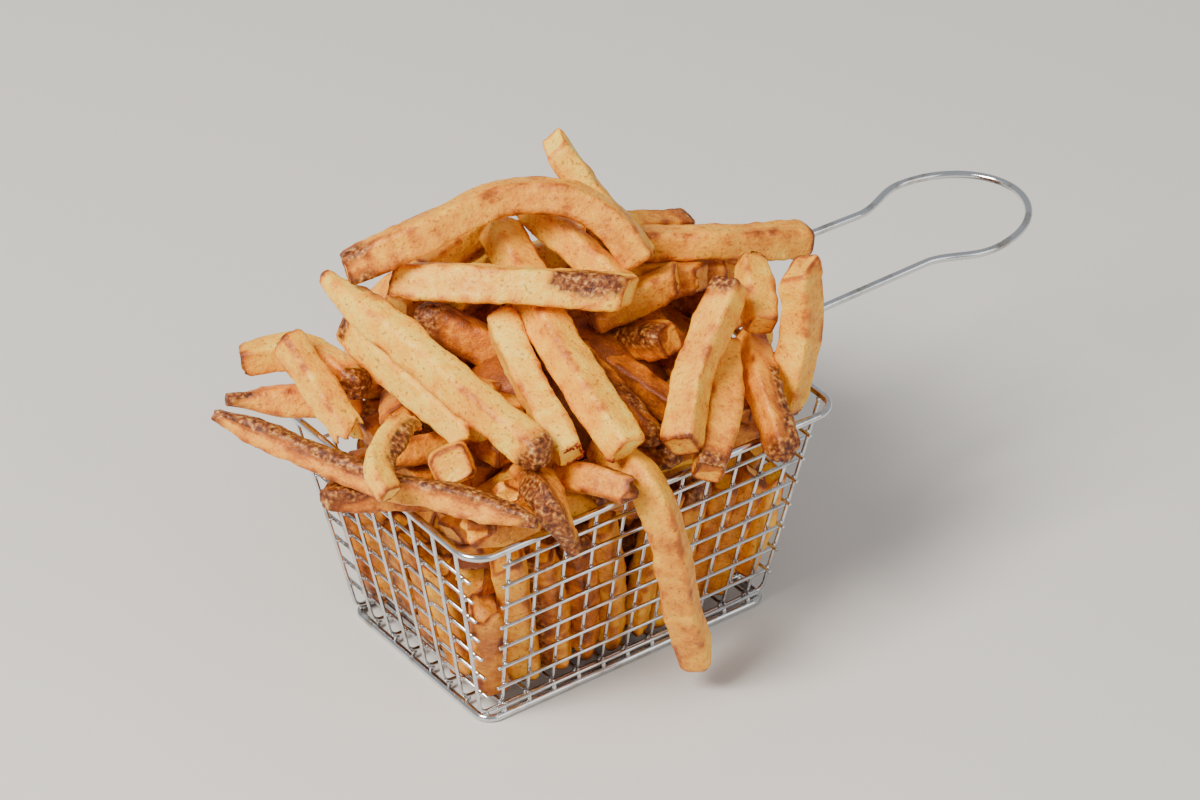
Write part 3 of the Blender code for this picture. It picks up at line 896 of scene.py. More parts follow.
@dataclass
class FryMaker:
    """Models a fry as a rounded square stick with blisters, dents, browned edges and skin."""

    fill: float = 0.91
    squareness: tuple[float, float] = (3.6, 6.4)
    ring_step: float = 0.95
    sides: int = 36
    strip_angle: float = 52.0

    def profile(self, tip: Tip, away: np.ndarray, thickness: float) -> np.ndarray:
        """Return how thick the fry is, as a share, at distances from an end.

        Args:
            tip: How that end is shaped.
            away: Distances from it.
            thickness: The fry's thickness.

        Returns:
            A share of the thickness for each distance.
        """
        if tip is Tip.SKIN:
            reach = thickness * 0.55
            bulge = np.sqrt(np.clip(1 - (1 - np.clip(away / reach, 0, 1)) ** 2.4, 0, 1))
            return 0.42 + 0.58 * bulge
        if tip in (Tip.POINT, Tip.SHARP):
            return 0.24 + 0.76 * smooth_step(away, -thickness * 0.9, thickness * 2.1)
        edge = 0.12 if tip is Tip.RAGGED else 0.16
        return 1 - edge * (1 - smooth_step(away, -0.4, 1.6)) - 0.05 * (1 - smooth_step(away, 0, 7))

    def rings(self, length: float, step: float) -> np.ndarray:
        """Return the places of the rings along the fry, closer together at its ends."""
        near = np.array([0.0, 0.25, 0.6, 1.1])
        middle = np.linspace(1.8, length - 1.8, max(int((length - 3.6) / step), 4))
        return np.concatenate([near, middle, (length - near)[::-1]])

    def shape(self, parts: MeshParts, fry: Fry, axis: np.ndarray, seed: int) -> None:
        """Add one fry to a mesh.

        Args:
            parts: The mesh that takes it.
            fry: Its thickness, ends and looks.
            axis: Its middle line as settled, evenly spaced, one point to a row.
            seed: Chooses its dents, blisters and browning.
        """
        rng = np.random.default_rng(seed)
        steps = np.linalg.norm(np.diff(axis, axis=0), axis=1)
        run = np.concatenate([[0], np.cumsum(steps)])
        length = float(run[-1])
        sides = self.sides if fry.fine else self.sides * 3 // 4
        body = self.rings(length, self.ring_step if fry.fine else self.ring_step * 1.5)
        inner = np.array([0.12, 0.42, 0.74, 0.93])
        along = np.concatenate([np.zeros(len(inner)), body, np.full(len(inner), length)])
        shrink = np.concatenate([inner, np.ones(len(body)), inner[::-1]])
        cap = np.concatenate([np.full(len(inner), -1), np.zeros(len(body)), np.full(len(inner), 1)])

        dense = smooth_route(axis, 80)
        across, up = carried_frames(dense)
        share = along / length * (len(dense) - 1)
        grid = np.arange(len(dense))
        centre = sampled(share, grid, dense)
        across = unit(sampled(share, grid, across))
        up = unit(sampled(share, grid, up))
        forward = np.cross(up, across)

        thick = self.profile(fry.tips[0], along, fry.thickness) * self.profile(
            fry.tips[1], length - along, fry.thickness)
        sway = value_noise(np.column_stack([along, np.full_like(along, seed), along * 0]), 17.0, seed)
        width = fry.thickness * self.fill / 2 * thick * (1 + 0.07 * sway)
        height = width * fry.flat * (1 - 0.10 * sway)
        twist = math.radians(fry.roll) + math.radians(rng.uniform(-9, 9)) * (along / length - 0.5)

        # rounded square, its flat faces drawn in a little and its corners left standing
        even = np.linspace(0, 2 * math.pi, sides, endpoint=False)
        angle = even + 0.12 * np.sin(4 * even)
        power = rng.uniform(*self.squareness)
        reach = (np.abs(np.cos(angle)) ** power + np.abs(np.sin(angle)) ** power) ** (-1 / power)
        corner = smooth_step(np.abs(np.sin(2 * angle)), 0.80, 1.0)
        face = ((angle + math.pi / 4) / (math.pi / 2)).astype(int) % 4
        hollow = rng.uniform(0.0, 0.09, 4)[face]
        reach = reach * (1 - hollow * (1 - corner))
        skew, wedge = rng.uniform(-0.11, 0.11, 2)
        taper = 1 + rng.uniform(-0.10, 0.10) * (along / length - 0.5)
        side_x = reach * np.cos(angle) * (1 + wedge * np.sin(angle))
        side_y = reach * np.sin(angle) + skew * side_x
        flat_x = (width * taper * shrink)[:, None] * side_x[None]
        flat_y = (height * taper * shrink)[:, None] * side_y[None]
        x = flat_x * np.cos(twist)[:, None] - flat_y * np.sin(twist)[:, None]
        y = flat_x * np.sin(twist)[:, None] + flat_y * np.cos(twist)[:, None]

        push = self.end_push(fry, along, length, x, y, cap, rng)
        places = (centre[:, None] + across[:, None] * x[..., None] + up[:, None] * y[..., None]
                  + forward[:, None] * push[..., None])
        own = np.stack([np.broadcast_to(along[:, None], x.shape) + push, x, y], axis=-1)
        own = own.reshape(-1, 3) + rng.uniform(-500, 500, 3)
        rings, flat = len(along), places.reshape(-1, 3)
        outward = self.outward(places, forward, cap)

        distance = np.minimum(along, length - along)
        edge = np.broadcast_to(corner[None], x.shape).ravel() * np.repeat(1 - np.abs(cap), sides)
        end_rim = np.repeat(1 - smooth_step(distance, 0.2, 1.6), sides) * np.repeat(
            smooth_step(shrink, 0.7, 1.0), sides)
        skin, near = self.skin_cover(fry, along, length, angle, cap, own, rings, sides)
        lift, toast = self.relief(own, flat, skin, edge, rng, fry)
        flat = flat + outward * lift[:, None]

        # the colour deepens in patches, from face to face, at the ends and along the edges
        patch = value_noise(own, 9.0, seed + 5) * 0.4 + value_noise(own, 3.0, seed + 6) * 0.6
        shades = np.tile(rng.uniform(-0.07, 0.07, 4)[face], rings)
        gold = fry.gold + 0.28 * patch + shades * (1 - edge) + 0.26 * end_rim
        gold += edge * np.clip(0.08 + 0.50 * patch, 0, 0.45)
        gold -= 0.10 * np.repeat((shrink < 1).astype(float), sides)
        toast = np.clip(toast + fry.toast * end_rim * (0.6 + 0.8 * patch), 0, 1)
        gold += 0.65 * toast + 0.40 * near
        toast = np.clip(toast * 1.6 - 0.9, 0, 1)
        faces = ring_faces(rings, sides, False)
        first = np.average(flat[:sides], axis=0)[None]
        last = np.average(flat[-sides:], axis=0)[None]
        start, end = len(flat), len(flat) + 1
        base = (rings - 1) * sides
        for side in range(sides):
            following = (side + 1) % sides
            faces.append((start, following, side))
            faces.append((end, base + side, base + following))
        columns = {"gold": gold, "toast": toast, "skin": skin}
        values = {
            label: np.concatenate([column, column[:1], column[-1:]])
            for label, column in columns.items()
        }
        parts.add(np.vstack([flat, first, last]), faces, values)

    def end_push(self, fry: Fry, along: np.ndarray, length: float, x: np.ndarray, y: np.ndarray,
                 cap: np.ndarray, rng: np.random.Generator) -> np.ndarray:
        """Return how far each vertex is pushed along the fry, to slant, break or hollow its ends.

        Args:
            fry: The fry.
            along: Place of each ring along it.
            length: Its length.
            x: Places across it, by ring and side.
            y: Places up it, by ring and side.
            cap: -1 or 1 for a ring on the first or last end face, else 0.
            rng: Source of the slants.

        Returns:
            The push, by ring and side.
        """
        push = np.zeros_like(x)
        for number, tip in enumerate(fry.tips):
            sign = -1 if number == 0 else 1
            away = along if number == 0 else length - along
            fade = (1 - smooth_step(away, 0.0, 6.0))[:, None]
            lean = rng.uniform(-0.16, 0.16, 2)
            if tip is Tip.SLANT:
                lean = np.array([rng.choice([-1, 1]) * 0.5, rng.uniform(-0.3, 0.3)])
            if tip in (Tip.POINT, Tip.SHARP):
                lean = lean * 0
            push += fade * (x * lean[0] + y * lean[1])
            if tip is Tip.RAGGED:
                spots = np.stack([x, y, np.full_like(x, 31.0 * number)], axis=-1).reshape(-1, 3)
                broken = value_noise(spots, 2.4, 11 + number).reshape(x.shape)
                push += fade * broken * 3.2
            if tip is Tip.SKIN:
                radius = np.sqrt(x ** 2 + y ** 2) / fry.thickness
                push += sign * (cap == sign)[:, None] * (0.5 - radius) * fry.thickness * 0.16
            elif tip not in (Tip.POINT, Tip.SHARP):
                radius = np.sqrt(x ** 2 + y ** 2) / (fry.thickness / 2)
                push -= sign * (cap == sign)[:, None] * np.clip(1 - radius ** 2, 0, 1) * 0.45
        return push

    def outward(self, places: np.ndarray, forward: np.ndarray, cap: np.ndarray) -> np.ndarray:
        """Return the direction out of the surface at each vertex.

        Args:
            places: The vertices, by ring and side.
            forward: Direction of the fry at each ring.
            cap: -1 or 1 for a ring on an end face, else 0.

        Returns:
            The directions, one to a row.
        """
        around = np.roll(places, -1, axis=1) - np.roll(places, 1, axis=1)
        lengthways = np.gradient(places, axis=0)
        normal = unit(np.cross(around, lengthways))
        normal = np.where((cap == 0)[:, None, None], normal, forward[:, None] * cap[:, None, None])
        middle = places.mean(axis=1, keepdims=True)
        flip = np.sign(np.sum((places - middle) * normal, axis=-1, keepdims=True))
        flip = np.where((cap == 0)[:, None, None], np.where(flip == 0, 1, flip), 1)
        return (normal * flip).reshape(-1, 3)

    def skin_cover(self, fry: Fry, along: np.ndarray, length: float, angle: np.ndarray,
                   cap: np.ndarray, own: np.ndarray, rings: int,
                   sides: int) -> tuple[np.ndarray, np.ndarray]:
        """Return where the fry still has its skin, and where it is scorched beside it, from 0 to 1.

        Args:
            fry: The fry.
            along: Place of each ring along it.
            length: Its length.
            angle: Angle of each side round it.
            cap: -1 or 1 for a ring on an end face, else 0.
            own: The vertices in its own space, one to a row.
            rings: Number of rings.
            sides: Number of sides.

        Returns:
            The cover and the scorching, for each vertex.
        """
        ragged = value_noise(own, 4.5, 21) * 0.75 + value_noise(own, 1.8, 22) * 0.5
        ragged = ragged.reshape(rings, sides)
        cover = np.zeros((rings, sides))
        near = np.zeros((rings, sides))
        for strip in fry.skin:
            facing = np.cos(angle - math.radians(strip.side))[None]
            limit = math.cos(math.radians(self.strip_angle * strip.width))
            inside = np.minimum(along - strip.start * length, strip.end * length - along)
            if strip.start <= 0:
                inside = strip.end * length - along
            if strip.end >= 1:
                inside = along - strip.start * length
            if strip.start <= 0 and strip.end >= 1:
                inside = np.full_like(along, length)
            # a strip narrows towards its ends
            half = (strip.end - strip.start) * length / 2
            limit = limit + 0.4 * (1 - smooth_step(inside, 0, half))[:, None]
            lies = smooth_step(facing + 0.30 * ragged, limit - 0.06, limit + 0.06)
            spans = smooth_step(inside[:, None] + 2.6 * ragged, -0.6, 0.6)
            cover = np.maximum(cover, lies * spans * (cap == 0)[:, None])
            beside = smooth_step(facing + 0.30 * ragged, limit - 0.42, limit)
            near = np.maximum(near, beside * smooth_step(inside[:, None] + 2.6 * ragged, -3.5, 0.0))
        for number, tip in enumerate(fry.tips):
            away = along if number == 0 else length - along
            if tip is Tip.SKIN:
                depth = fry.thickness * 0.5
                cover = np.maximum(cover, 1 - smooth_step(away[:, None] + 2.0 * ragged, depth - 1, depth + 1))
                near = np.maximum(near, 1 - smooth_step(away[:, None] + 2.0 * ragged, depth, depth + 5))
            if tip is Tip.POINT:
                depth = fry.thickness * 0.7
                part = 1 - smooth_step(away[:, None] + 3.0 * ragged, depth * 0.2, depth)
                cover = np.maximum(cover, part)
        return cover.ravel(), near.ravel() * (1 - cover.ravel())

    def relief(self, own: np.ndarray, places: np.ndarray, skin: np.ndarray, edge: np.ndarray,
               rng: np.random.Generator, fry: Fry) -> tuple[np.ndarray, np.ndarray]:
        """Return how far the surface stands out, and where it is toasted brown.

        Args:
            own: The vertices in the fry's own space, one to a row.
            places: The vertices where they lie.
            skin: Skin cover of each vertex.
            edge: How near each vertex lies to one of the long edges.
            rng: Source of the blisters' places.
            fry: The fry.

        Returns:
            The height in millimetres and the toasting from 0 to 1, for each vertex.
        """
        seed = int(rng.integers(1, 9999))
        lift = 0.42 * value_noise(own, 8.5, seed) + 0.20 * value_noise(own, 3.4, seed + 1)
        lift += 0.09 * value_noise(own, 1.7, seed + 2)
        # the long edges are chipped, and their thin crust has curled here and there
        lift += edge * (0.30 * value_noise(own, 2.1, seed + 8) + 0.25 * value_noise(own, 5.0, seed + 9) - 0.1)
        wrinkle = value_noise(own * (0.45, 1.0, 1.0), 1.7, seed + 3)
        lift += skin * (0.24 * wrinkle + 0.10 * value_noise(own, 0.95, seed + 4))
        # small blisters, where water boiled out under the crust
        toast = np.zeros(len(own))
        count = int(np.ptp(own[:, 0]) * 0.55)
        for index in rng.integers(0, len(places), count):
            radius = rng.uniform(0.7, 1.9)
            gap = np.linalg.norm(places - places[index], axis=1) / radius
            near = gap < 2
            bump = np.zeros(len(own))
            bump[near] = (1 - smooth_step(gap[near], 0.0, 1.6))
            lift += bump * rng.uniform(0.08, 0.30)
            toast = np.maximum(toast, bump * rng.uniform(0.0, 0.5) * fry.toast)
        spots = value_noise(own, 2.2, seed + 7)
        toast = np.maximum(toast, fry.toast * smooth_step(spots, 0.55, 0.9) * (0.4 + edge * 0.6))
        return lift, toast


# The fries that lie open on the heap, from the basket's middle and the plane it stands on
OPEN_FRIES = (
    Fry("arch", 10.2,
        ((-43, 37, 108), (-25, 28, 116), (-2, 24, 121), (12, 15, 121), (21, 6, 115), (26, -2, 104)),
        roll=18, gold=0.42, toast=0.45,
        skin=(SkinStrip(60, 0.0, 0.13, 0.6), SkinStrip(300, 0.0, 0.09, 0.8))),
    Fry("upright", 9.1, ((19, 28, 129), (23, 20, 118), (29, 14, 107), (34, 8, 97)),
        (Tip.SLANT, Tip.CUT), roll=35, gold=0.20, toast=0.3),
    Fry("to_handle", 9.6, ((32, 14, 99), (50, 4, 98), (65, 1, 94), (83, -1, 89)),
        roll=12, flat=1.05, gold=0.44, toast=0.8),
    Fry("behind_handle_fry", 8.2, ((30, 30, 96), (41, 24, 96), (60, 20, 91)),
        (Tip.CUT, Tip.SKIN), gold=0.42, toast=0.4),
    Fry("top_middle", 10.7, ((-31, 29, 104), (-13, 8, 107), (14, -13, 105)),
        (Tip.SLANT, Tip.SLANT), roll=30, gold=0.20, toast=0.35, skin=(SkinStrip(50, 0.66, 0.97, 1.3),)),
    Fry("long_slope", 10.2, ((-47, 42, 106), (-41, 15, 98), (-36, -14, 90), (-31, -38, 83)),
        (Tip.SHARP, Tip.SKIN), roll=10, gold=0.22, toast=0.4, skin=(SkinStrip(148, 0.12, 0.3, 0.7),)),
    Fry("second_slope", 10.7, ((-43, 35, 92), (-42, 13, 88), (-41, -15, 80)),
        (Tip.CUT, Tip.RAGGED), roll=8, gold=0.10, toast=0.25, skin=(SkinStrip(0, 0.0, 0.12, 0.7),)),
    Fry("low_slope", 7.7, ((-32, 10, 73), (-30, -18, 73)), gold=0.62, toast=0.5),
    Fry("centre_slope", 9.9, ((-11, 11, 95), (-17, -10, 88), (-22, -37, 80)),
        roll=-14, gold=0.16, toast=0.25),
    Fry("long_centre", 10.7, ((3, 32, 106), (-1, 12, 99), (-5, -6, 95), (-10, -44, 81)),
        roll=24, gold=0.24, toast=0.3),
    Fry("ragged", 10.4, ((-60, 39, 91), (-59, 12, 76)),
        (Tip.CUT, Tip.RAGGED), roll=4, flat=0.9, gold=0.22, toast=0.4),
    Fry("bent", 9.9, ((-70, 47, 84), (-55, 41, 84), (-47, 23, 78)),
        (Tip.CUT, Tip.SKIN), roll=12, gold=0.20, toast=0.3, skin=(SkinStrip(90, 0.88, 1.0, 2.2),)),
    Fry("far_point", 9.3, ((-78, 43, 77), (-57, 32, 74), (-46, 27, 72)),
        (Tip.POINT, Tip.CUT), roll=30, gold=0.50, toast=0.6, skin=(SkinStrip(60, 0.0, 0.22),)),
    Fry("skin_strip", 8.0, ((-90, 29, 85), (-78, 7, 81), (-66, -17, 78), (-56, -30, 78), (-44, -51, 77)),
        (Tip.POINT, Tip.POINT), roll=20, gold=0.48, toast=0.5,
        skin=(SkinStrip(84, 0.0, 1.0, 1.15),)),
    Fry("hook", 8.6, ((-49, -4, 84), (-56, -8, 88), (-67, -15, 88), (-73, -22, 88), (-74, -29, 86)),
        (Tip.SHARP, Tip.CUT), roll=30, flat=0.72, gold=0.20, toast=0.6,
        skin=(SkinStrip(140, 0.0, 0.8),)),
    Fry("stub", 11.8, ((-51, -24, 81), (-38, -6, 69)),
        roll=20, gold=0.36, toast=0.5),
    Fry("under_strip", 7.7, ((-79, -5, 73), (-44, -22, 72)),
        (Tip.SKIN, Tip.CUT), roll=10, gold=0.56, toast=0.6, skin=(SkinStrip(60, 0.0, 0.35),)),
    Fry("corner", 8.8, ((-53, -36, 70), (-33, -34, 62)),
        (Tip.RAGGED, Tip.CUT), gold=0.42, toast=0.6, skin=(SkinStrip(60, 0.0, 0.2, 0.4),)),
    Fry("pointed", 9.3, ((-28, -25, 74), (-36, -46, 77), (-33, -53, 64)),
        (Tip.CUT, Tip.POINT), roll=35, gold=0.46, toast=0.7, skin=(SkinStrip(10, 0.2, 1.0, 1.1),)),
    Fry("reddened", 9.6, ((-25, -33, 74), (-21, -45, 78), (-17, -55, 78)),
        (Tip.CUT, Tip.RAGGED), roll=34, flat=0.92, gold=0.54, toast=0.8,
        skin=(SkinStrip(128, 0.4, 1.0, 0.8),)),
    Fry("hanging", 10.4,
        ((-6, -27, 71), (-8, -46, 75), (-7, -54, 67), (-4, -56, 54), (0, -55, 34), (7, -53, 12)),
        (Tip.CUT, Tip.SLANT), roll=32, gold=0.40, toast=0.12),
    Fry("right_slope", 11.0, ((39, -25, 105), (21, -33, 89), (7, -46, 76)),
        roll=-12, gold=0.34, toast=0.5, skin=(SkinStrip(80, 0.0, 0.09, 1.2),)),
    Fry("right_low", 9.9, ((37, -23, 83), (24, -40, 78), (10, -53, 72)),
        roll=16, gold=0.42, toast=0.6, skin=(SkinStrip(70, 0.91, 1.0, 1.6),)),
    Fry("right_cap", 10.2, ((55, -12, 99), (47, -28, 89)),
        roll=14, gold=0.36, toast=0.3),
    Fry("right_tip", 9.3, ((49, -19, 81), (39, -39, 79), (35, -55, 67)),
        (Tip.CUT, Tip.SKIN), roll=24, gold=0.50, toast=0.7, skin=(SkinStrip(140, 0.45, 1.0, 1.1),)),
    Fry("right_end", 10.7, ((56, -32, 107), (55, -34, 89), (47, -38, 67)),
        (Tip.SLANT, Tip.CUT), roll=20, gold=0.28, toast=0.4, skin=(SkinStrip(20, 0.0, 0.30, 0.5),)),
    Fry("brown_cap", 9.3, ((40, 12, 86), (49, 7, 87), (56, 1, 89)),
        gold=0.55, toast=0.5),
    Fry("behind_middle", 9.4, ((11, 0, 90), (38, -1, 94)),
        (Tip.CUT, Tip.SLANT), roll=10, gold=0.48, toast=0.5, skin=(SkinStrip(60, 0.0, 0.25, 0.4),)),
    Fry("low_right", 9.9, ((28, -29, 68), (40, -34, 61)), gold=0.58, toast=0.4),
)

# The fries that show in the gaps between these. Their deeper orange and toast are partly their own tone and
# partly painted shade for the gaps.
GAP_FRIES = (
    Fry("orange_knob", 9.8, ((27, 7, 91), (44, -5, 95)), (Tip.CUT, Tip.SLANT), roll=20, gold=0.50, toast=0.3),
    Fry("skin_block", 11.0, ((-24, 30, 90), (-12, 10, 84)),
        (Tip.SKIN, Tip.CUT), roll=20, gold=0.68, toast=0.6, skin=(SkinStrip(90, 0.0, 0.4, 0.6),)),
    Fry("pale_back", 9.4, ((-22, 36, 100), (4, 34, 104)), roll=10, gold=0.34),
    Fry("pale_back_2", 9.8, ((11, 33, 109), (24, -2, 99)), roll=24, gold=0.34),
    Fry("orange_right", 9.6, ((22, 8, 92), (30, -28, 80)), roll=15, gold=0.66),
    Fry("thin_skin", 6.6, ((2, -4, 87), (5, -40, 76)),
        (Tip.CUT, Tip.SKIN), roll=30, gold=0.62, toast=0.7, skin=(SkinStrip(90, 0.1, 1.0, 0.5),)),
    Fry("dark_orange", 8.8, ((11, -1, 81), (18, -28, 74)), gold=0.70, toast=0.5),
    Fry("red_skin", 8.0, ((-1, -28, 72), (6, -46, 72)),
        (Tip.CUT, Tip.SKIN), gold=0.66, toast=0.8, skin=(SkinStrip(90, 0.3, 1.0, 1.2),)),
    Fry("under_stub", 8.8, ((-25, 6, 68), (-33, -36, 65)), gold=0.66, toast=0.5),
    Fry("low_left", 9.0, ((-46, 24, 68), (-46, -6, 64)), gold=0.66, toast=0.6),
    Fry("right_gap", 8.8, ((43, -12, 85), (30, -38, 70)), gold=0.62, toast=0.5),
    Fry("left_gap", 9.4, ((-34, 16, 80), (-6, 20, 80)), gold=0.70, toast=0.5),
    Fry("middle_gap", 9.0, ((-21, 31, 84), (4, 26, 88)), gold=0.62, toast=0.5),
)

# The fries on the side away from the handle's user, finished like the others
BACK_FRIES = (
    Fry("back_long", 9.5, ((-28, 40, 89), (22, 46, 85)), gold=0.40),
    Fry("back_right", 9.5, ((28, 38, 87), (62, 18, 81)), (Tip.CUT, Tip.SKIN), gold=0.35),
    Fry("back_over", 9.2, ((8, 36, 93), (18, 52, 76), (21, 55, 60)),
        (Tip.CUT, Tip.SLANT), roll=15, gold=0.30),
    Fry("back_left", 9.2, ((-14, 44, 85), (-24, 54, 73), (-28, 54, 57)),
        (Tip.CUT, Tip.RAGGED), gold=0.45),
    Fry("back_corner", 9.2, ((46, 22, 87), (60, 42, 78), (70, 54, 69)),
        (Tip.CUT, Tip.POINT), gold=0.40, skin=(SkinStrip(90, 0.5, 1.0, 0.8),)),
    Fry("back_cross", 9.6, ((37, 40, 81), (-3, 50, 80)), (Tip.SKIN, Tip.CUT), gold=0.50),
    Fry("back_hanging", 9.0, ((33, 32, 86), (38, 52, 78), (39, 56, 58)), (Tip.CUT, Tip.SKIN), gold=0.45),
    Fry("back_slant", 9.8, ((-32, 34, 82), (-4, 57, 76)), roll=20, gold=0.22),
    Fry("back_flat", 8.9, ((-14, 28, 94), (12, 46, 90)), (Tip.RAGGED, Tip.CUT), gold=0.30),
    Fry("back_upper", 10.0, ((6, 24, 98), (44, 34, 88)), (Tip.CUT, Tip.SKIN), roll=25, gold=0.26,
        skin=(SkinStrip(90, 0.6, 1.0, 0.7),)),
    Fry("end_over", 9.4, ((50, 22, 83), (71, 31, 74)), gold=0.38),
    Fry("end_short", 8.6, ((42, 4, 92), (66, 15, 80)), (Tip.CUT, Tip.RAGGED), gold=0.48),
    Fry("end_cross", 9.3, ((57, 28, 76), (56, -6, 78)), (Tip.SKIN, Tip.CUT), gold=0.55),
    Fry("under_handle", 8.8, ((50, 18, 87), (60, 10, 84), (68, 4, 74), (67, 1, 61)),
        (Tip.CUT, Tip.SLANT), gold=0.42),
)


@dataclass
class Heap:
    """Fills the tub and the mound with fries and settles them, until they only press on each other.

    Each fry is followed as a chain of balls. Balls that overlap push each other apart, the wires
    hold them in, and after each step every chain takes its own stiff shape again.
    """

    basket: Basket
    balls: int = 13
    ball_share: float = 0.525
    rounds: int = 420
    seed: int = 7
    layer: float = 10.6
    wall_gap: float = 7.2
    plain_thickness: tuple[float, float] = (8.4, 10.8)
    plain_skin: float = 0.22
    hold_across: float = 0.25
    hold_along: float = 0.1
    open_stiffness: float = 0.12
    placed_stiffness: float = 0.45
    mound_inset: float = 2.0
    mound_slope: float = 0.55
    core_low: float = 19.0
    core_top: float = 70.0
    core_peak: float = 89.0
    core_inset: float = 24.5
    most_touch: float = 2.2
    most_tuck: float = 3.5
    tucks: int = 4
    tuck_tries: int = 5000
    tuck_length: tuple[float, float] = (18.0, 46.0)
    tuck_thickness: tuple[float, float] = (8.4, 9.8)
    sink: float = 0.06
    core_push: float = 0.15
    fries: list[Fry] = field(default_factory=list)
    goals: np.ndarray = field(init=False)
    chains: np.ndarray = field(init=False)
    held: np.ndarray = field(init=False)

    def gather(self) -> None:
        """Collect the placed fries, then add the ones that fill the tub and the mound."""
        self.fries = [*OPEN_FRIES, *GAP_FRIES, *BACK_FRIES]
        placed = len(self.fries)
        rng = np.random.default_rng(self.seed)
        for wall in ("right", "left", "front", "back"):
            self.line_wall(wall, rng)
        self.fill_floor(rng)
        self.fill_mound(rng)
        self.goals = np.stack([smooth_route(np.array(fry.points, float), self.balls) for fry in self.fries])
        self.chains = self.goals.copy()
        self.held = np.array([index < placed for index in range(len(self.fries))])

    def add_plain(self, name: str, middle: np.ndarray, heading: np.ndarray, length: float,
                  rng: np.random.Generator) -> None:
        """Add one slightly bent fry about a place.

        Args:
            name: Its name.
            middle: Its middle.
            heading: Its direction, of any length.
            length: Its length.
            rng: Source of its looks.
        """
        heading = heading / np.linalg.norm(heading)
        sag = np.cross(heading, rng.normal(size=3))
        sag = sag / np.linalg.norm(sag) * rng.uniform(0, 0.04) * length
        ends = (middle - heading * length / 2, middle + sag, middle + heading * length / 2)
        tips = (Tip.CUT, Tip.CUT, Tip.SLANT, Tip.RAGGED, Tip.SKIN)
        skin = (SkinStrip(rng.uniform(0, 360), 0.0, 1.0, 0.8),) if rng.random() < self.plain_skin else ()
        # the filling fries take a deeper gold than the open ones, partly their own tone and partly painted
        # shade for the inside of the heap
        self.fries.append(Fry(
            name, float(rng.uniform(*self.plain_thickness)),
            tuple(tuple(float(c) for c in end) for end in ends),
            (tips[rng.integers(len(tips))], tips[rng.integers(len(tips))]), roll=float(rng.uniform(-40, 40)),
            flat=float(rng.uniform(0.88, 1.08)), gold=float(rng.uniform(0.36, 0.70)),
            toast=float(rng.uniform(0.3, 0.7)), skin=skin, fine=False,
        ))

    def line_wall(self, wall: str, rng: np.random.Generator) -> None:
        """Line one wall of the tub with a layer of fries, and lay some behind them.

        Args:
            wall: right, left, front or back.
            rng: Source of their places.
        """
        axis = 1 if wall in ("right", "left") else 0
        sign = -1 if wall in ("right", "front") else 1
        other = 1 - axis
        low = self.basket.floor_height + self.basket.mesh_step + 0.6
        pitch = self.layer * 1.08
        phase = rng.uniform(0, 6)
        if axis == 1:
            span = self.basket.half(32, other) - 9
            count = int(2 * span / pitch) + 1
            for index in range(count):
                share = from_middle(index, count)
                lean = math.radians(17 * math.sin(0.8 * index + phase) + rng.uniform(-4, 4))
                lean = lean * (1 - share ** 4)
                length = rng.uniform(42, 55)
                along = share * span
                self.stand(f"{wall}_{index + 1}", axis, sign, along, low, lean, length, 0.0, rng)
        else:
            for row in range(2):
                height = low + self.layer * (row + 0.5)
                length = 2 * self.basket.half(height, other) - rng.uniform(15, 26)
                self.lie(f"{wall}_{row + 1}", axis, sign, rng.uniform(-4, 4), height,
                         rng.uniform(-0.07, 0.07), length, 0.0, rng)
            span = self.basket.half(50, other) - 9
            count = int(2 * span / (pitch * 1.12)) + 1
            for index in range(count):
                lean = math.radians(24 * math.sin(0.9 * index + phase) + rng.uniform(-5, 5))
                along = from_middle(index, count) * span
                self.stand(f"{wall}_{index + 3}", axis, sign, along, low + 2.1 * self.layer, lean,
                           rng.uniform(30, 38), 0.0, rng)
        rows = 5 if axis == 1 else 4
        for row in range(rows):
            height = low + self.layer * (row * 1.06 + 0.6)
            sides = (-0.5, 0.5) if axis == 1 else (0.0,)
            for side in sides:
                room = self.basket.half(height, other) - (4 if axis == 1 else 16)
                length = room * (0.95 if axis == 1 else 1.5) - rng.uniform(2, 9)
                self.lie(f"{wall}_inner_{row + 1}_{'ab'[side > 0]}", axis, sign, side * room * 1.02,
                         height, rng.uniform(-0.16, 0.16), length, self.layer, rng)

    def stand(self, name: str, axis: int, sign: int, along: float, low: float, lean: float,
              length: float, depth: float, rng: np.random.Generator) -> None:
        """Add a fry that stands against a wall, leaning along it.

        Args:
            name: Its name.
            axis: The axis that the wall faces, 0 for X and 1 for Y.
            sign: The wall's side of the middle, -1 or 1.
            along: Its place along the wall.
            low: Height of its foot.
            lean: Its lean along the wall, in radians.
            length: Its length.
            depth: How far behind the first layer it stands.
            rng: Source of its looks.
        """
        height = low + length / 2 * math.cos(lean) + 1.0
        middle = np.zeros(3)
        slope = (self.basket.rim_size - self.basket.base_size) / 2 / (
            self.basket.rim_height - self.basket.base_height)
        fan = slope[1 - axis] * along / self.basket.half(height, 1 - axis)
        middle[axis] = sign * (self.basket.half(height, axis) - self.wall_gap - depth)
        middle[1 - axis] = along
        middle[2] = height
        heading = np.zeros(3)
        heading[1 - axis] = math.sin(lean) + fan
        heading[2] = math.cos(lean)
        heading[axis] = sign * slope[axis] * math.cos(lean)
        self.add_plain(name, middle, heading, length, rng)

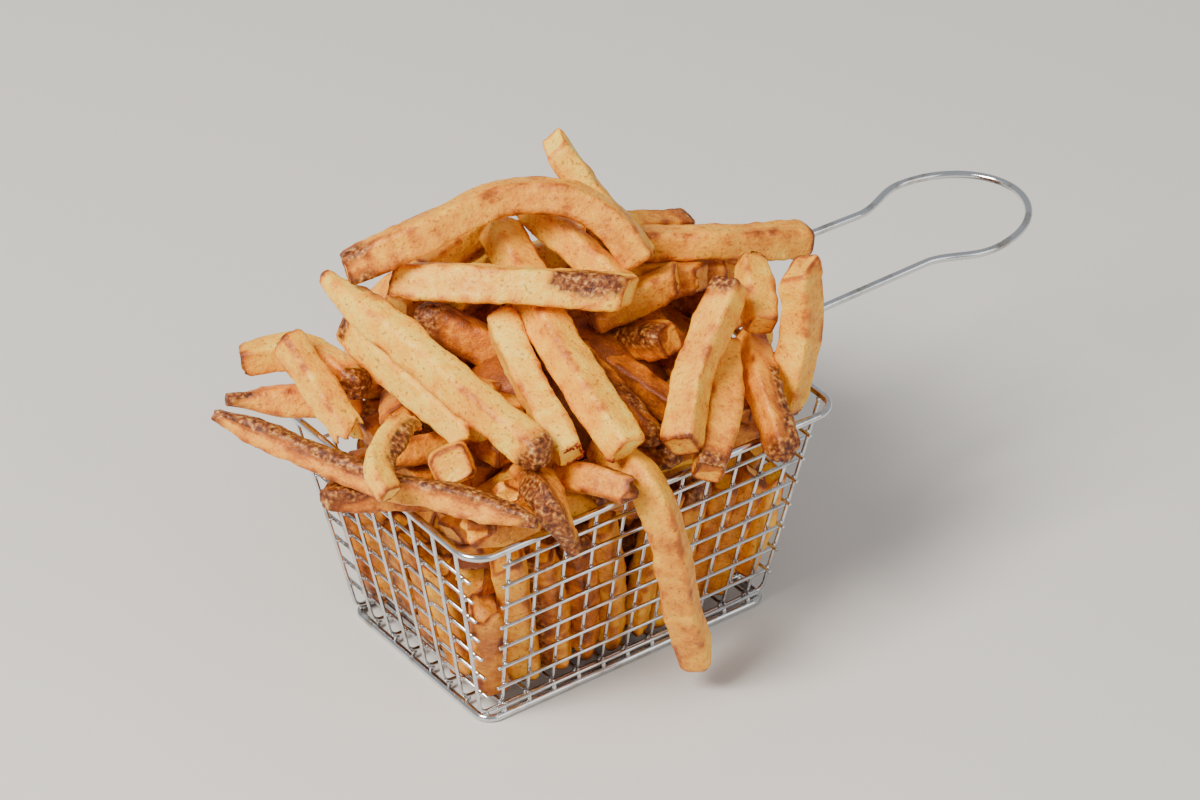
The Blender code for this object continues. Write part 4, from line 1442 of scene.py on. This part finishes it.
    def lie(self, name: str, axis: int, sign: int, along: float, height: float, rise: float,
            length: float, depth: float, rng: np.random.Generator) -> None:
        """Add a fry that lies along a wall.

        Args:
            name: Its name.
            axis: The axis that the wall faces, 0 for X and 1 for Y.
            sign: The wall's side of the middle, -1 or 1.
            along: Its middle's place along the wall.
            height: Its middle's height.
            rise: Its slope.
            length: Its length.
            depth: How far behind the first layer it lies.
            rng: Source of its looks.
        """
        middle = np.zeros(3)
        middle[axis] = sign * (self.basket.half(height, axis) - self.wall_gap - depth)
        middle[1 - axis] = along
        middle[2] = height
        heading = np.zeros(3)
        heading[1 - axis] = 1.0
        heading[2] = rise
        self.add_plain(name, middle, heading, length, rng)

    def fill_floor(self, rng: np.random.Generator) -> None:
        """Lay fries on the middle of the floor."""
        height = self.basket.floor_height + self.basket.mesh_step + 6.0
        for index, (x, y) in enumerate(((-16, -6), (-14, 6), (17, -5), (15, 7))):
            heading = np.array([1.0, rng.uniform(-0.12, 0.12), 0.0])
            self.add_plain(f"floor_{index + 1}", np.array([x, y, height]), heading, rng.uniform(32, 40), rng)

    def fill_mound(self, rng: np.random.Generator) -> None:
        """Lay crossing layers of fries under the ones that lie open.

        Args:
            rng: Source of their places.
        """
        layers = ((69.0, 47.0, 34.0, True), (79.5, 41.0, 27.0, False), (89.5, 26.0, 19.0, True))
        for number, (height, reach_x, reach_y, lengthwise) in enumerate(layers):
            across = reach_y if lengthwise else reach_x
            along = reach_x if lengthwise else reach_y
            count = int(2 * across / (self.layer * 1.05)) + 1
            halves = (-0.5, 0.5) if along > 40 else (0.0,)
            for index in range(count):
                side = from_middle(index, count) * across
                for half in halves:
                    length = min(along * (1.02 if len(halves) == 2 else 2.0), 58) - rng.uniform(0, 9)
                    middle = np.array([half * along * 1.06, side, height])
                    heading = np.array([1.0, rng.uniform(-0.16, 0.16), rng.uniform(-0.05, 0.05)])
                    if not lengthwise:
                        middle[:2] = middle[1::-1].copy()
                        heading[:2] = heading[1::-1].copy()
                    self.add_plain(f"mound_{number + 1}_{index + 1}_{'ab'[half > 0]}", middle, heading,
                                   length, rng)

    def core_depth(self, places: np.ndarray) -> tuple[np.ndarray, np.ndarray]:
        """Return how deep places lie in the core, and the way out of it.

        Args:
            places: The places, one to a row.

        Returns:
            A depth for each place, and a direction, one to a row.
        """
        height = np.clip(places[:, 2], self.core_low, self.basket.rim_height)
        reach_x = self.basket.half(height, 0) - self.core_inset
        reach_y = self.basket.half(height, 1) - self.core_inset
        gaps = np.column_stack([
            reach_x - np.abs(places[:, 0]), reach_y - np.abs(places[:, 1]),
            places[:, 2] - self.core_low, self.core_top - places[:, 2],
        ])
        nearest = np.argmin(gaps, axis=1)
        depth = np.maximum(gaps.min(axis=1), 0)
        out = np.zeros_like(places)
        rows = np.arange(len(places))
        out[:, 0] = np.where(nearest == 0, np.sign(places[:, 0]), 0)
        out[:, 1] = np.where(nearest == 1, np.sign(places[:, 1]), 0)
        out[rows, 2] = np.where(nearest == 2, -1, np.where(nearest == 3, 1, 0))
        return depth, out

    def contain(self, places: np.ndarray, radius: np.ndarray, below: np.ndarray, beyond: np.ndarray,
                free: np.ndarray) -> None:
        """Push balls off the mesh, the rim and the plane below, in place.

        Args:
            places: The balls' middles, one to a row.
            radius: The balls' radii.
            below: How far each ball's fry reaches under the ball's middle.
            beyond: Whether a ball belongs outside the walls along X and along Y.
            free: Whether a ball belongs to a fry that only fills the heap.
        """
        basket = self.basket
        inner = basket.mesh_step + basket.mesh_wire / 2 + 0.25
        height = places[:, 2]
        level = np.minimum(height, basket.rim_height)
        in_tub = height < basket.rim_height + 1.0
        outside = beyond.any(axis=1)
        for axis in (0, 1):
            wall = basket.half(level, axis)
            value = places[:, axis]
            limit = wall - inner - radius
            over = in_tub & ~outside & (np.abs(value) > limit)
            places[:, axis] = np.where(over, np.sign(value) * limit, value)
            outer = wall + basket.mesh_wire / 2 + 0.3 + radius
            short = in_tub & beyond[:, axis] & (np.abs(value) < outer)
            places[:, axis] = np.where(short, np.sign(value) * outer, places[:, axis])
            slope = wall - self.mound_inset - np.maximum(height - basket.rim_height, 0) * self.mound_slope
            spilling = free & ~in_tub & (np.abs(places[:, axis]) > slope)
            places[:, axis] = np.where(spilling, np.sign(value) * slope, places[:, axis])
        floor = basket.floor_height + inner + below
        low = ~outside & (places[:, 2] < floor)
        places[low, 2] = floor[low]
        self.off_rim(places, radius)

    def off_rim(self, places: np.ndarray, radius: np.ndarray) -> None:
        """Push balls off the rim wire, in place.

        Args:
            places: The balls' middles, one to a row.
            radius: The balls' radii.
        """
        half = self.basket.rim_size / 2
        for axis in (0, 1):
            for sign in (-1, 1):
                near = places.copy()
                near[:, axis] = sign * half[axis]
                near[:, 1 - axis] = np.clip(places[:, 1 - axis], -half[1 - axis], half[1 - axis])
                near[:, 2] = self.basket.rim_height
                away = places - near
                gap = np.linalg.norm(away, axis=1)
                need = radius + self.basket.frame_wire / 2 + 0.2
                hit = gap < need
                places[hit] += away[hit] / np.maximum(gap[hit], 1e-6)[:, None] * (need - gap)[hit, None]

    def settle(self, rounds: int) -> None:
        """Let the fries push each other apart until they lie free.

        Args:
            rounds: Number of small steps to take.
        """
        count = len(self.fries)
        radius = np.repeat([fry.thickness * self.ball_share for fry in self.fries], self.balls)
        owner = np.repeat(np.arange(count), self.balls)
        held = self.held[owner]
        easy = np.where(self.held, self.placed_stiffness, 1.0)
        easy[:len(OPEN_FRIES)] = self.open_stiffness
        move = easy[owner]
        eye = np.array(TOWARDS_EYE)
        hold = np.where(self.held, self.hold_across, 0) * np.where(easy == self.open_stiffness, 1.0, 0.4)
        goal = self.goals
        rest = goal - goal.mean(axis=1, keepdims=True)
        apart = radius[:, None] + radius[None]
        apart[owner[:, None] == owner[None]] = 0
        start = goal.reshape(-1, 3)
        near_rim = np.minimum(start[:, 2], self.basket.rim_height)
        beyond = np.column_stack([
            np.abs(start[:, axis]) > self.basket.half(near_rim, axis) for axis in (0, 1)])
        beyond &= held[:, None]
        for turn in range(rounds):
            flat = self.chains.reshape(-1, 3)
            if turn % 10 == 0:
                first, second = np.nonzero(self.gaps(flat) < apart + 4.0 * (apart > 0))
                reach = apart[first, second]
                share = move[first] / (move[first] + move[second])
            way = flat[first] - flat[second]
            gap = np.maximum(np.linalg.norm(way, axis=1), 1e-6)
            push = (np.maximum(reach - gap, 0) * share * 0.5 / gap)[:, None] * way
            shift = np.column_stack([np.bincount(first, push[:, axis], len(flat)) for axis in range(3)])
            if turn < rounds * 0.5:
                shift[~held, 2] -= self.sink
            depth, out = self.core_depth(flat)
            shift += np.where(held, 0, self.core_push)[:, None] * out * np.maximum(depth - 1.0, 0)[:, None]
            flat = flat + shift
            heading = unit(self.chains[:, -1] - self.chains[:, 0])
            lying = np.repeat(np.sqrt(np.clip(1 - heading[:, 2] ** 2, 0, 1)), self.balls)
            self.contain(flat, radius, radius * lying, beyond, ~held)
            chains = flat.reshape(count, self.balls, 3)
            middle = chains.mean(axis=1, keepdims=True)
            spread = np.einsum("fbi,fbj->fij", rest, chains - middle)
            left, _, right = np.linalg.svd(spread)
            sign = np.sign(np.linalg.det(left @ right))
            right[:, 2] *= sign[:, None]
            stiff = rest @ (left @ right) + middle
            # the placed fries give way along the line of sight, where it doesn't show
            back = goal - stiff
            deep = (back @ eye)[..., None] * eye
            stiff += hold[:, None, None] * (back - deep) + (hold * self.hold_along)[:, None, None] * deep
            self.chains = stiff
        self.drop_blocked(apart)

    def gaps(self, places: np.ndarray) -> np.ndarray:
        """Return the distance between every two balls' middles."""
        square = np.sum(places ** 2, axis=1)
        return np.sqrt(np.maximum(square[:, None] + square[None] - 2 * places @ places.T, 1e-9))

    def drop_blocked(self, apart: np.ndarray) -> None:
        """Leave out the filling fries that found no free place, or that cover an open one.

        Args:
            apart: The least distance between every two balls, and 0 within one fry.
        """
        places = self.chains.reshape(-1, 3)
        depth = np.maximum(apart - self.gaps(places), 0)
        count = len(self.fries)
        worst = depth.reshape(count, self.balls, count, self.balls).max(axis=(1, 3))
        eye = np.array(TOWARDS_EYE)
        near = places @ eye
        seen = places - near[:, None] * eye
        opens = slice(0, len(OPEN_FRIES) * self.balls)
        covers = (self.gaps(seen)[:, opens] < apart[:, opens] * 0.7) & (near[:, None] > near[None, opens] + 3)
        covering = covers.any(axis=1).reshape(count, self.balls).sum(axis=1)
        keep = (covering < 2) | self.held
        while True:
            load = np.where(keep[None] & keep[:, None], worst, 0).max(axis=1)
            load[self.held] = 0
            index = int(np.argmax(load))
            if load[index] < self.most_touch:
                break
            keep[index] = False
        LOG.info("kept %d of %d fries, left out %s", keep.sum(), count,
                 [fry.name for fry, kept in zip(self.fries, keep) if not kept])
        self.fries = [fry for fry, kept in zip(self.fries, keep) if kept]
        self.goals, self.chains, self.held = self.goals[keep], self.chains[keep], self.held[keep]

    def tuck_in(self, tries: int, rng: np.random.Generator) -> None:
        """Look for free room in the tub and the mound, and put short fries in it.

        Args:
            tries: Number of places to try.
            rng: Source of the places.
        """
        basket = self.basket
        length = rng.uniform(*self.tuck_length, tries)
        thick = rng.uniform(*self.tuck_thickness, tries)
        height = rng.uniform(9, 84, tries)
        level = np.minimum(height, basket.rim_height)
        middle = np.column_stack([
            rng.uniform(-1, 1, tries) * (basket.half(level, 0) - 7),
            rng.uniform(-1, 1, tries) * (basket.half(level, 1) - 7), height,
        ])
        turn = rng.uniform(0, math.pi, tries)
        heading = unit(np.column_stack([np.cos(turn), np.sin(turn), rng.normal(0, 0.5, tries)]))
        shares = np.linspace(-0.5, 0.5, self.balls)
        trial = middle[:, None] + heading[:, None] * (shares[None] * length[:, None])[..., None]
        radius = thick * self.ball_share
        below = radius * np.sqrt(np.clip(1 - heading[:, 2] ** 2, 0, 1))
        low = trial[..., 2].min(axis=1) - below > basket.floor_height + basket.mesh_step
        room = np.full(tries, 99.0)
        for axis in (0, 1):
            near = np.minimum(trial[..., 2], basket.rim_height)
            rise = np.maximum(trial[..., 2] - basket.rim_height, 0) * self.mound_slope
            gap = basket.half(near, axis) - rise - basket.mesh_step - np.abs(trial[..., axis])
            room = np.minimum(room, gap.min(axis=1) - radius)
        deep = self.core_depth(trial.reshape(-1, 3))[0].reshape(tries, -1).max(axis=1)
        fits = np.nonzero(low & (room > 0.3) & (deep < 5))[0]
        taken = self.chains.reshape(-1, 3)
        sizes = np.repeat([fry.thickness * self.ball_share for fry in self.fries], self.balls)
        touch = {}
        for index in fits:
            gap = np.linalg.norm(trial[index][:, None] - taken[None], axis=2)
            touch[index] = float((sizes[None] + radius[index] - gap).max())
        added = []
        for index in sorted(touch, key=lambda number: touch[number]):
            if touch[index] > self.most_tuck:
                break
            clear = all(
                np.linalg.norm(trial[index][:, None] - trial[other][None], axis=2).min()
                > radius[index] + radius[other] - self.most_tuck
                for other in added
            )
            if clear:
                added.append(index)
                self.add_plain(f"tucked_{len(self.fries)}", middle[index], heading[index],
                               float(length[index]), rng)
        count = len(self.fries) - len(self.chains)
        LOG.info("tucked in %d fries", count)
        if count:
            new = self.fries[-count:]
            routes = np.stack([smooth_route(np.array(fry.points, float), self.balls) for fry in new])
            self.goals = np.concatenate([self.goals, routes])
            self.chains = np.concatenate([self.chains, routes])
            self.held = np.concatenate([self.held, np.zeros(count, bool)])

    def core(self, parts: MeshParts) -> None:
        """Add the lump of crust under the fries, which closes the view through the gaps. Its deep
        orange-brown, darker than the fries around it, is painted shade for those deep gaps.

        Args:
            parts: The mesh that takes it.
        """
        rings, sides = 46, 96
        heights = np.linspace(0, 1, rings)
        bottom, top = self.core_low + 2, self.core_peak
        angle = np.linspace(0, 2 * math.pi, sides, endpoint=False)
        corner = (np.abs(np.cos(angle)) ** 4 + np.abs(np.sin(angle)) ** 4) ** -0.25
        places = []
        for share in heights:
            height = bottom + (top - bottom) * share
            level = min(height, self.basket.rim_height)
            closing = math.sqrt(max(1 - abs(2 * share - 1) ** (4 if share < 0.5 else 2.6), 0.0)) + 0.02
            reach = [(self.basket.half(level, axis) - self.core_inset - 3) * closing for axis in (0, 1)]
            places.append(np.column_stack([
                reach[0] * corner * np.cos(angle), reach[1] * corner * np.sin(angle),
                np.full(sides, height),
            ]))
        places = np.vstack(places)
        lumps = 2.6 * value_noise(places, 11.0, 3) + 1.2 * value_noise(places, 4.5, 4)
        out = unit(places * (1, 1, 0) + (0, 0, 1e-6))
        places = places + out * lumps[:, None] + self.basket.middle
        faces = ring_faces(rings, sides, False)
        faces.append(tuple(range(sides))[::-1])
        faces.append(tuple(range(len(places) - sides, len(places))))
        shade = value_noise(places, 6.0, 9)
        # painted shade: the core shows only deep in the gaps, so its gold and toast are set darker than any
        # fry's
        parts.add(places, faces, {
            "gold": 0.86 + 0.12 * shade, "toast": 0.25 + 0.2 * shade, "skin": np.zeros(len(places)),
        })

    def zone(self, chain: np.ndarray) -> str:
        """Return the name of the piece that a fry belongs to, by where it lies.

        Args:
            chain: Its balls' middles, one to a row.

        Returns:
            The piece's name.
        """
        middle = chain.mean(axis=0)
        if middle[2] < self.basket.rim_height - 2:
            layer, parts_of_layer = "tub", 6
        else:
            layer, parts_of_layer = "heap", 7
        turn = math.atan2(middle[1], middle[0]) / (2 * math.pi) % 1
        return f"fries_{layer}_{int(turn * parts_of_layer) + 1}"

    def build(self) -> list[bpy.types.Object]:
        """Settle the fries and make their pieces over the core.

        Returns:
            The pieces that hold the fries.
        """
        self.gather()
        self.settle(self.rounds)
        rng = np.random.default_rng(self.seed + 1)
        for _ in range(self.tucks):
            self.tuck_in(self.tuck_tries, rng)
            self.settle(self.rounds // 3)
        crust = FriedPotato().build()
        zones: dict[str, MeshParts] = {}
        maker = FryMaker()
        for index, (fry, chain) in enumerate(zip(self.fries, self.chains)):
            parts = zones.setdefault(self.zone(chain), MeshParts())
            maker.shape(parts, fry, chain + self.basket.middle, self.seed * 100 + index)
        pieces = [zones[name].to_piece(name, crust, "fried_potato") for name in sorted(zones)]
        core = MeshParts()
        self.core(core)
        for piece in [*pieces, core.to_piece("heap_core", crust, "fried_potato")]:
            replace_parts(piece, "fries")
        return pieces


# ---------------- seasoning and crumbs


@dataclass
class Scatter:
    """Strews small broken bits over the faces of the fries that look up."""

    name: str
    count: int
    small_mm: float
    large_mm: float
    flatness: float
    seed: int
    gather: tuple[tuple[float, float, float, float, int], ...] = ()

    def bit(self, parts: MeshParts, place: np.ndarray, normal: np.ndarray,
            rng: np.random.Generator, growth: float = 1.0) -> None:
        """Add one irregular bit that lies on a surface.

        Args:
            parts: The mesh that takes it.
            place: Where it lies, on the surface.
            normal: The surface's direction there.
            rng: Source of its size and shape.
            growth: How much larger it is than the others.
        """
        size = rng.uniform(self.small_mm, self.large_mm) / 2 * growth
        side = unit(np.cross(normal, rng.normal(size=3))[None])[0]
        other = np.cross(normal, side)
        sides = 6
        places = []
        for level, reach in ((-0.6, 0.7), (0.1, 1.0), (0.8, 0.6)):
            for index in range(sides):
                turn = 2 * math.pi * index / sides
                far = reach * rng.uniform(0.65, 1.15)
                flat = side * math.cos(turn) * far + other * math.sin(turn) * far * 0.75
                places.append((flat + normal * level * self.flatness) * size)
        places += [normal * -0.8 * self.flatness * size, normal * self.flatness * size]
        faces = ring_faces(3, sides, False)
        for index in range(sides):
            following = (index + 1) % sides
            faces.append((3 * sides, following, index))
            faces.append((3 * sides + 1, 2 * sides + index, 2 * sides + following))
        columns = {
            "gold": np.full(len(places), rng.uniform(0.5, 0.95)),
            "toast": np.full(len(places), rng.uniform(0.0, 0.5)),
            "skin": np.full(len(places), float(rng.random() < 0.3)),
        }
        parts.add(np.array(places) + place, faces, columns)

    def build(self, pieces: list[bpy.types.Object], middle: np.ndarray,
              material: bpy.types.Material) -> None:
        """Strew the bits and make their piece.

        Args:
            pieces: The pieces that the bits lie on.
            middle: The basket's middle, in millimetres.
            material: Their material.
        """
        rng = np.random.default_rng(self.seed)
        places, normals = [], []
        for piece in pieces:
            mesh = piece.data
            flat = np.empty(len(mesh.vertices) * 3)
            mesh.vertices.foreach_get("co", flat)
            places.append(flat.reshape(-1, 3) / MM)
            mesh.vertices.foreach_get("normal", flat)
            normals.append(flat.reshape(-1, 3).copy())
        places, normals = np.vstack(places), np.vstack(normals)
        upward = np.nonzero((normals[:, 2] > 0.35) & (places[:, 2] > 62))[0]
        parts = MeshParts()
        for index in rng.choice(upward, self.count, replace=False):
            self.bit(parts, places[index], normals[index], rng)
        for x, y, z, reach, count in self.gather:
            gap = np.linalg.norm(places[upward] - middle - (x, y, z), axis=1)
            near = upward[gap < reach]
            for index in rng.choice(near, min(count, len(near)), replace=False):
                self.bit(parts, places[index], normals[index], rng, 1.9)
        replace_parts(parts.to_piece(self.name, material, "fried_potato"), "fries")


# ---------------- the studio


@dataclass(frozen=True)
class Softbox:
    """One soft light that looks at the food, its place and size in metres and its power in watts."""

    name: str
    place: Point
    size: float
    power: float
    colour: str


@dataclass
class Studio:
    """A pale floor, soft lights and the camera."""

    basket: Basket
    aim: Point = (14.1, 0.55, 62.9)
    distance: float = 1472.0
    lens: float = 163.65
    floor_size: float = 3.6
    floor_colour: str = "DAD6D0"
    world_colour: str = "E9ECF0"
    world_strength: float = 0.54
    food_height: float = 0.07
    softboxes: tuple[Softbox, ...] = (
        Softbox("key_softbox", (-0.95, -0.10, 1.15), 0.55, 34.0, "FFFAF2"),
        Softbox("fill_softbox", (0.45, -1.30, 0.75), 1.1, 6.0, "FFFCF8"),
    )

    def look(self, owner: bpy.types.Object, target: Vector) -> None:
        """Turn a light or a camera towards a place."""
        owner.rotation_euler = (target - owner.location).to_track_quat("-Z", "Y").to_euler()

    def floor(self) -> None:
        """Make the plain pale floor."""
        half = self.floor_size / 2
        mesh = bpy.data.meshes.new("studio_floor")
        corners = [(-half, -half, 0), (half, -half, 0), (half, half, 0), (-half, half, 0)]
        mesh.from_pydata(corners, [], [(0, 1, 2, 3)])
        material, _, shader = new_material("matt_paper")
        shader.inputs["Base Color"].default_value = linear(self.floor_colour)
        shader.inputs["Roughness"].default_value = 0.8
        mesh.materials.append(material)
        floor = bpy.data.objects.new("studio_floor", mesh)
        bpy.context.scene.collection.objects.link(floor)

    def light(self, softbox: Softbox) -> None:
        """Add one soft light that looks at the food.

        Args:
            softbox: Its place, size, power and colour.
        """
        lamp = bpy.data.lights.new(softbox.name, "AREA")
        lamp.size = softbox.size
        lamp.energy = softbox.power
        lamp.color = linear(softbox.colour)[:3]
        owner = bpy.data.objects.new(softbox.name, lamp)
        owner.location = softbox.place
        bpy.context.scene.collection.objects.link(owner)
        self.look(owner, Vector((*(self.basket.middle[:2] * MM), self.food_height)))

    def build(self) -> None:
        """Make the floor, the lights, the surroundings and the camera."""
        self.floor()
        world = bpy.data.worlds.new("soft_room")
        bpy.context.scene.world = world
        world.use_nodes = True
        sky = world.node_tree.nodes["Background"]
        sky.inputs["Color"].default_value = linear(self.world_colour)
        sky.inputs["Strength"].default_value = self.world_strength
        for softbox in self.softboxes:
            self.light(softbox)
        lens = bpy.data.cameras.new("camera")
        lens.lens = self.lens
        lens.sensor_width = 36.0
        lens.sensor_fit = "HORIZONTAL"
        lens.dof.use_dof = False
        camera = bpy.data.objects.new("camera", lens)
        aim = Vector(self.basket.middle + self.aim) * MM
        camera.location = aim + Vector(TOWARDS_EYE) * self.distance * MM
        self.look(camera, aim)
        bpy.context.scene.collection.objects.link(camera)
        bpy.context.scene.camera = camera


def main() -> None:
    """Build the basket, the fries, what is strewn on them and the studio, and note the sizes."""
    logging.basicConfig(level=logging.INFO, format="%(message)s")
    basket = Basket()
    basket.build()
    heap = Heap(basket)
    pieces = heap.build()
    Scatter("paprika", 420, 0.35, 0.85, 0.5, seed=31, gather=((-21, -43, 82, 7, 240),)).build(
        pieces, basket.middle, GroundPaprika().build())
    Scatter("crust_crumbs", 34, 0.9, 2.2, 0.7, seed=32).build(
        pieces, basket.middle, bpy.data.materials["fried_potato_crust"])
    Studio(basket).build()


if __name__ == "__main__":
    main()
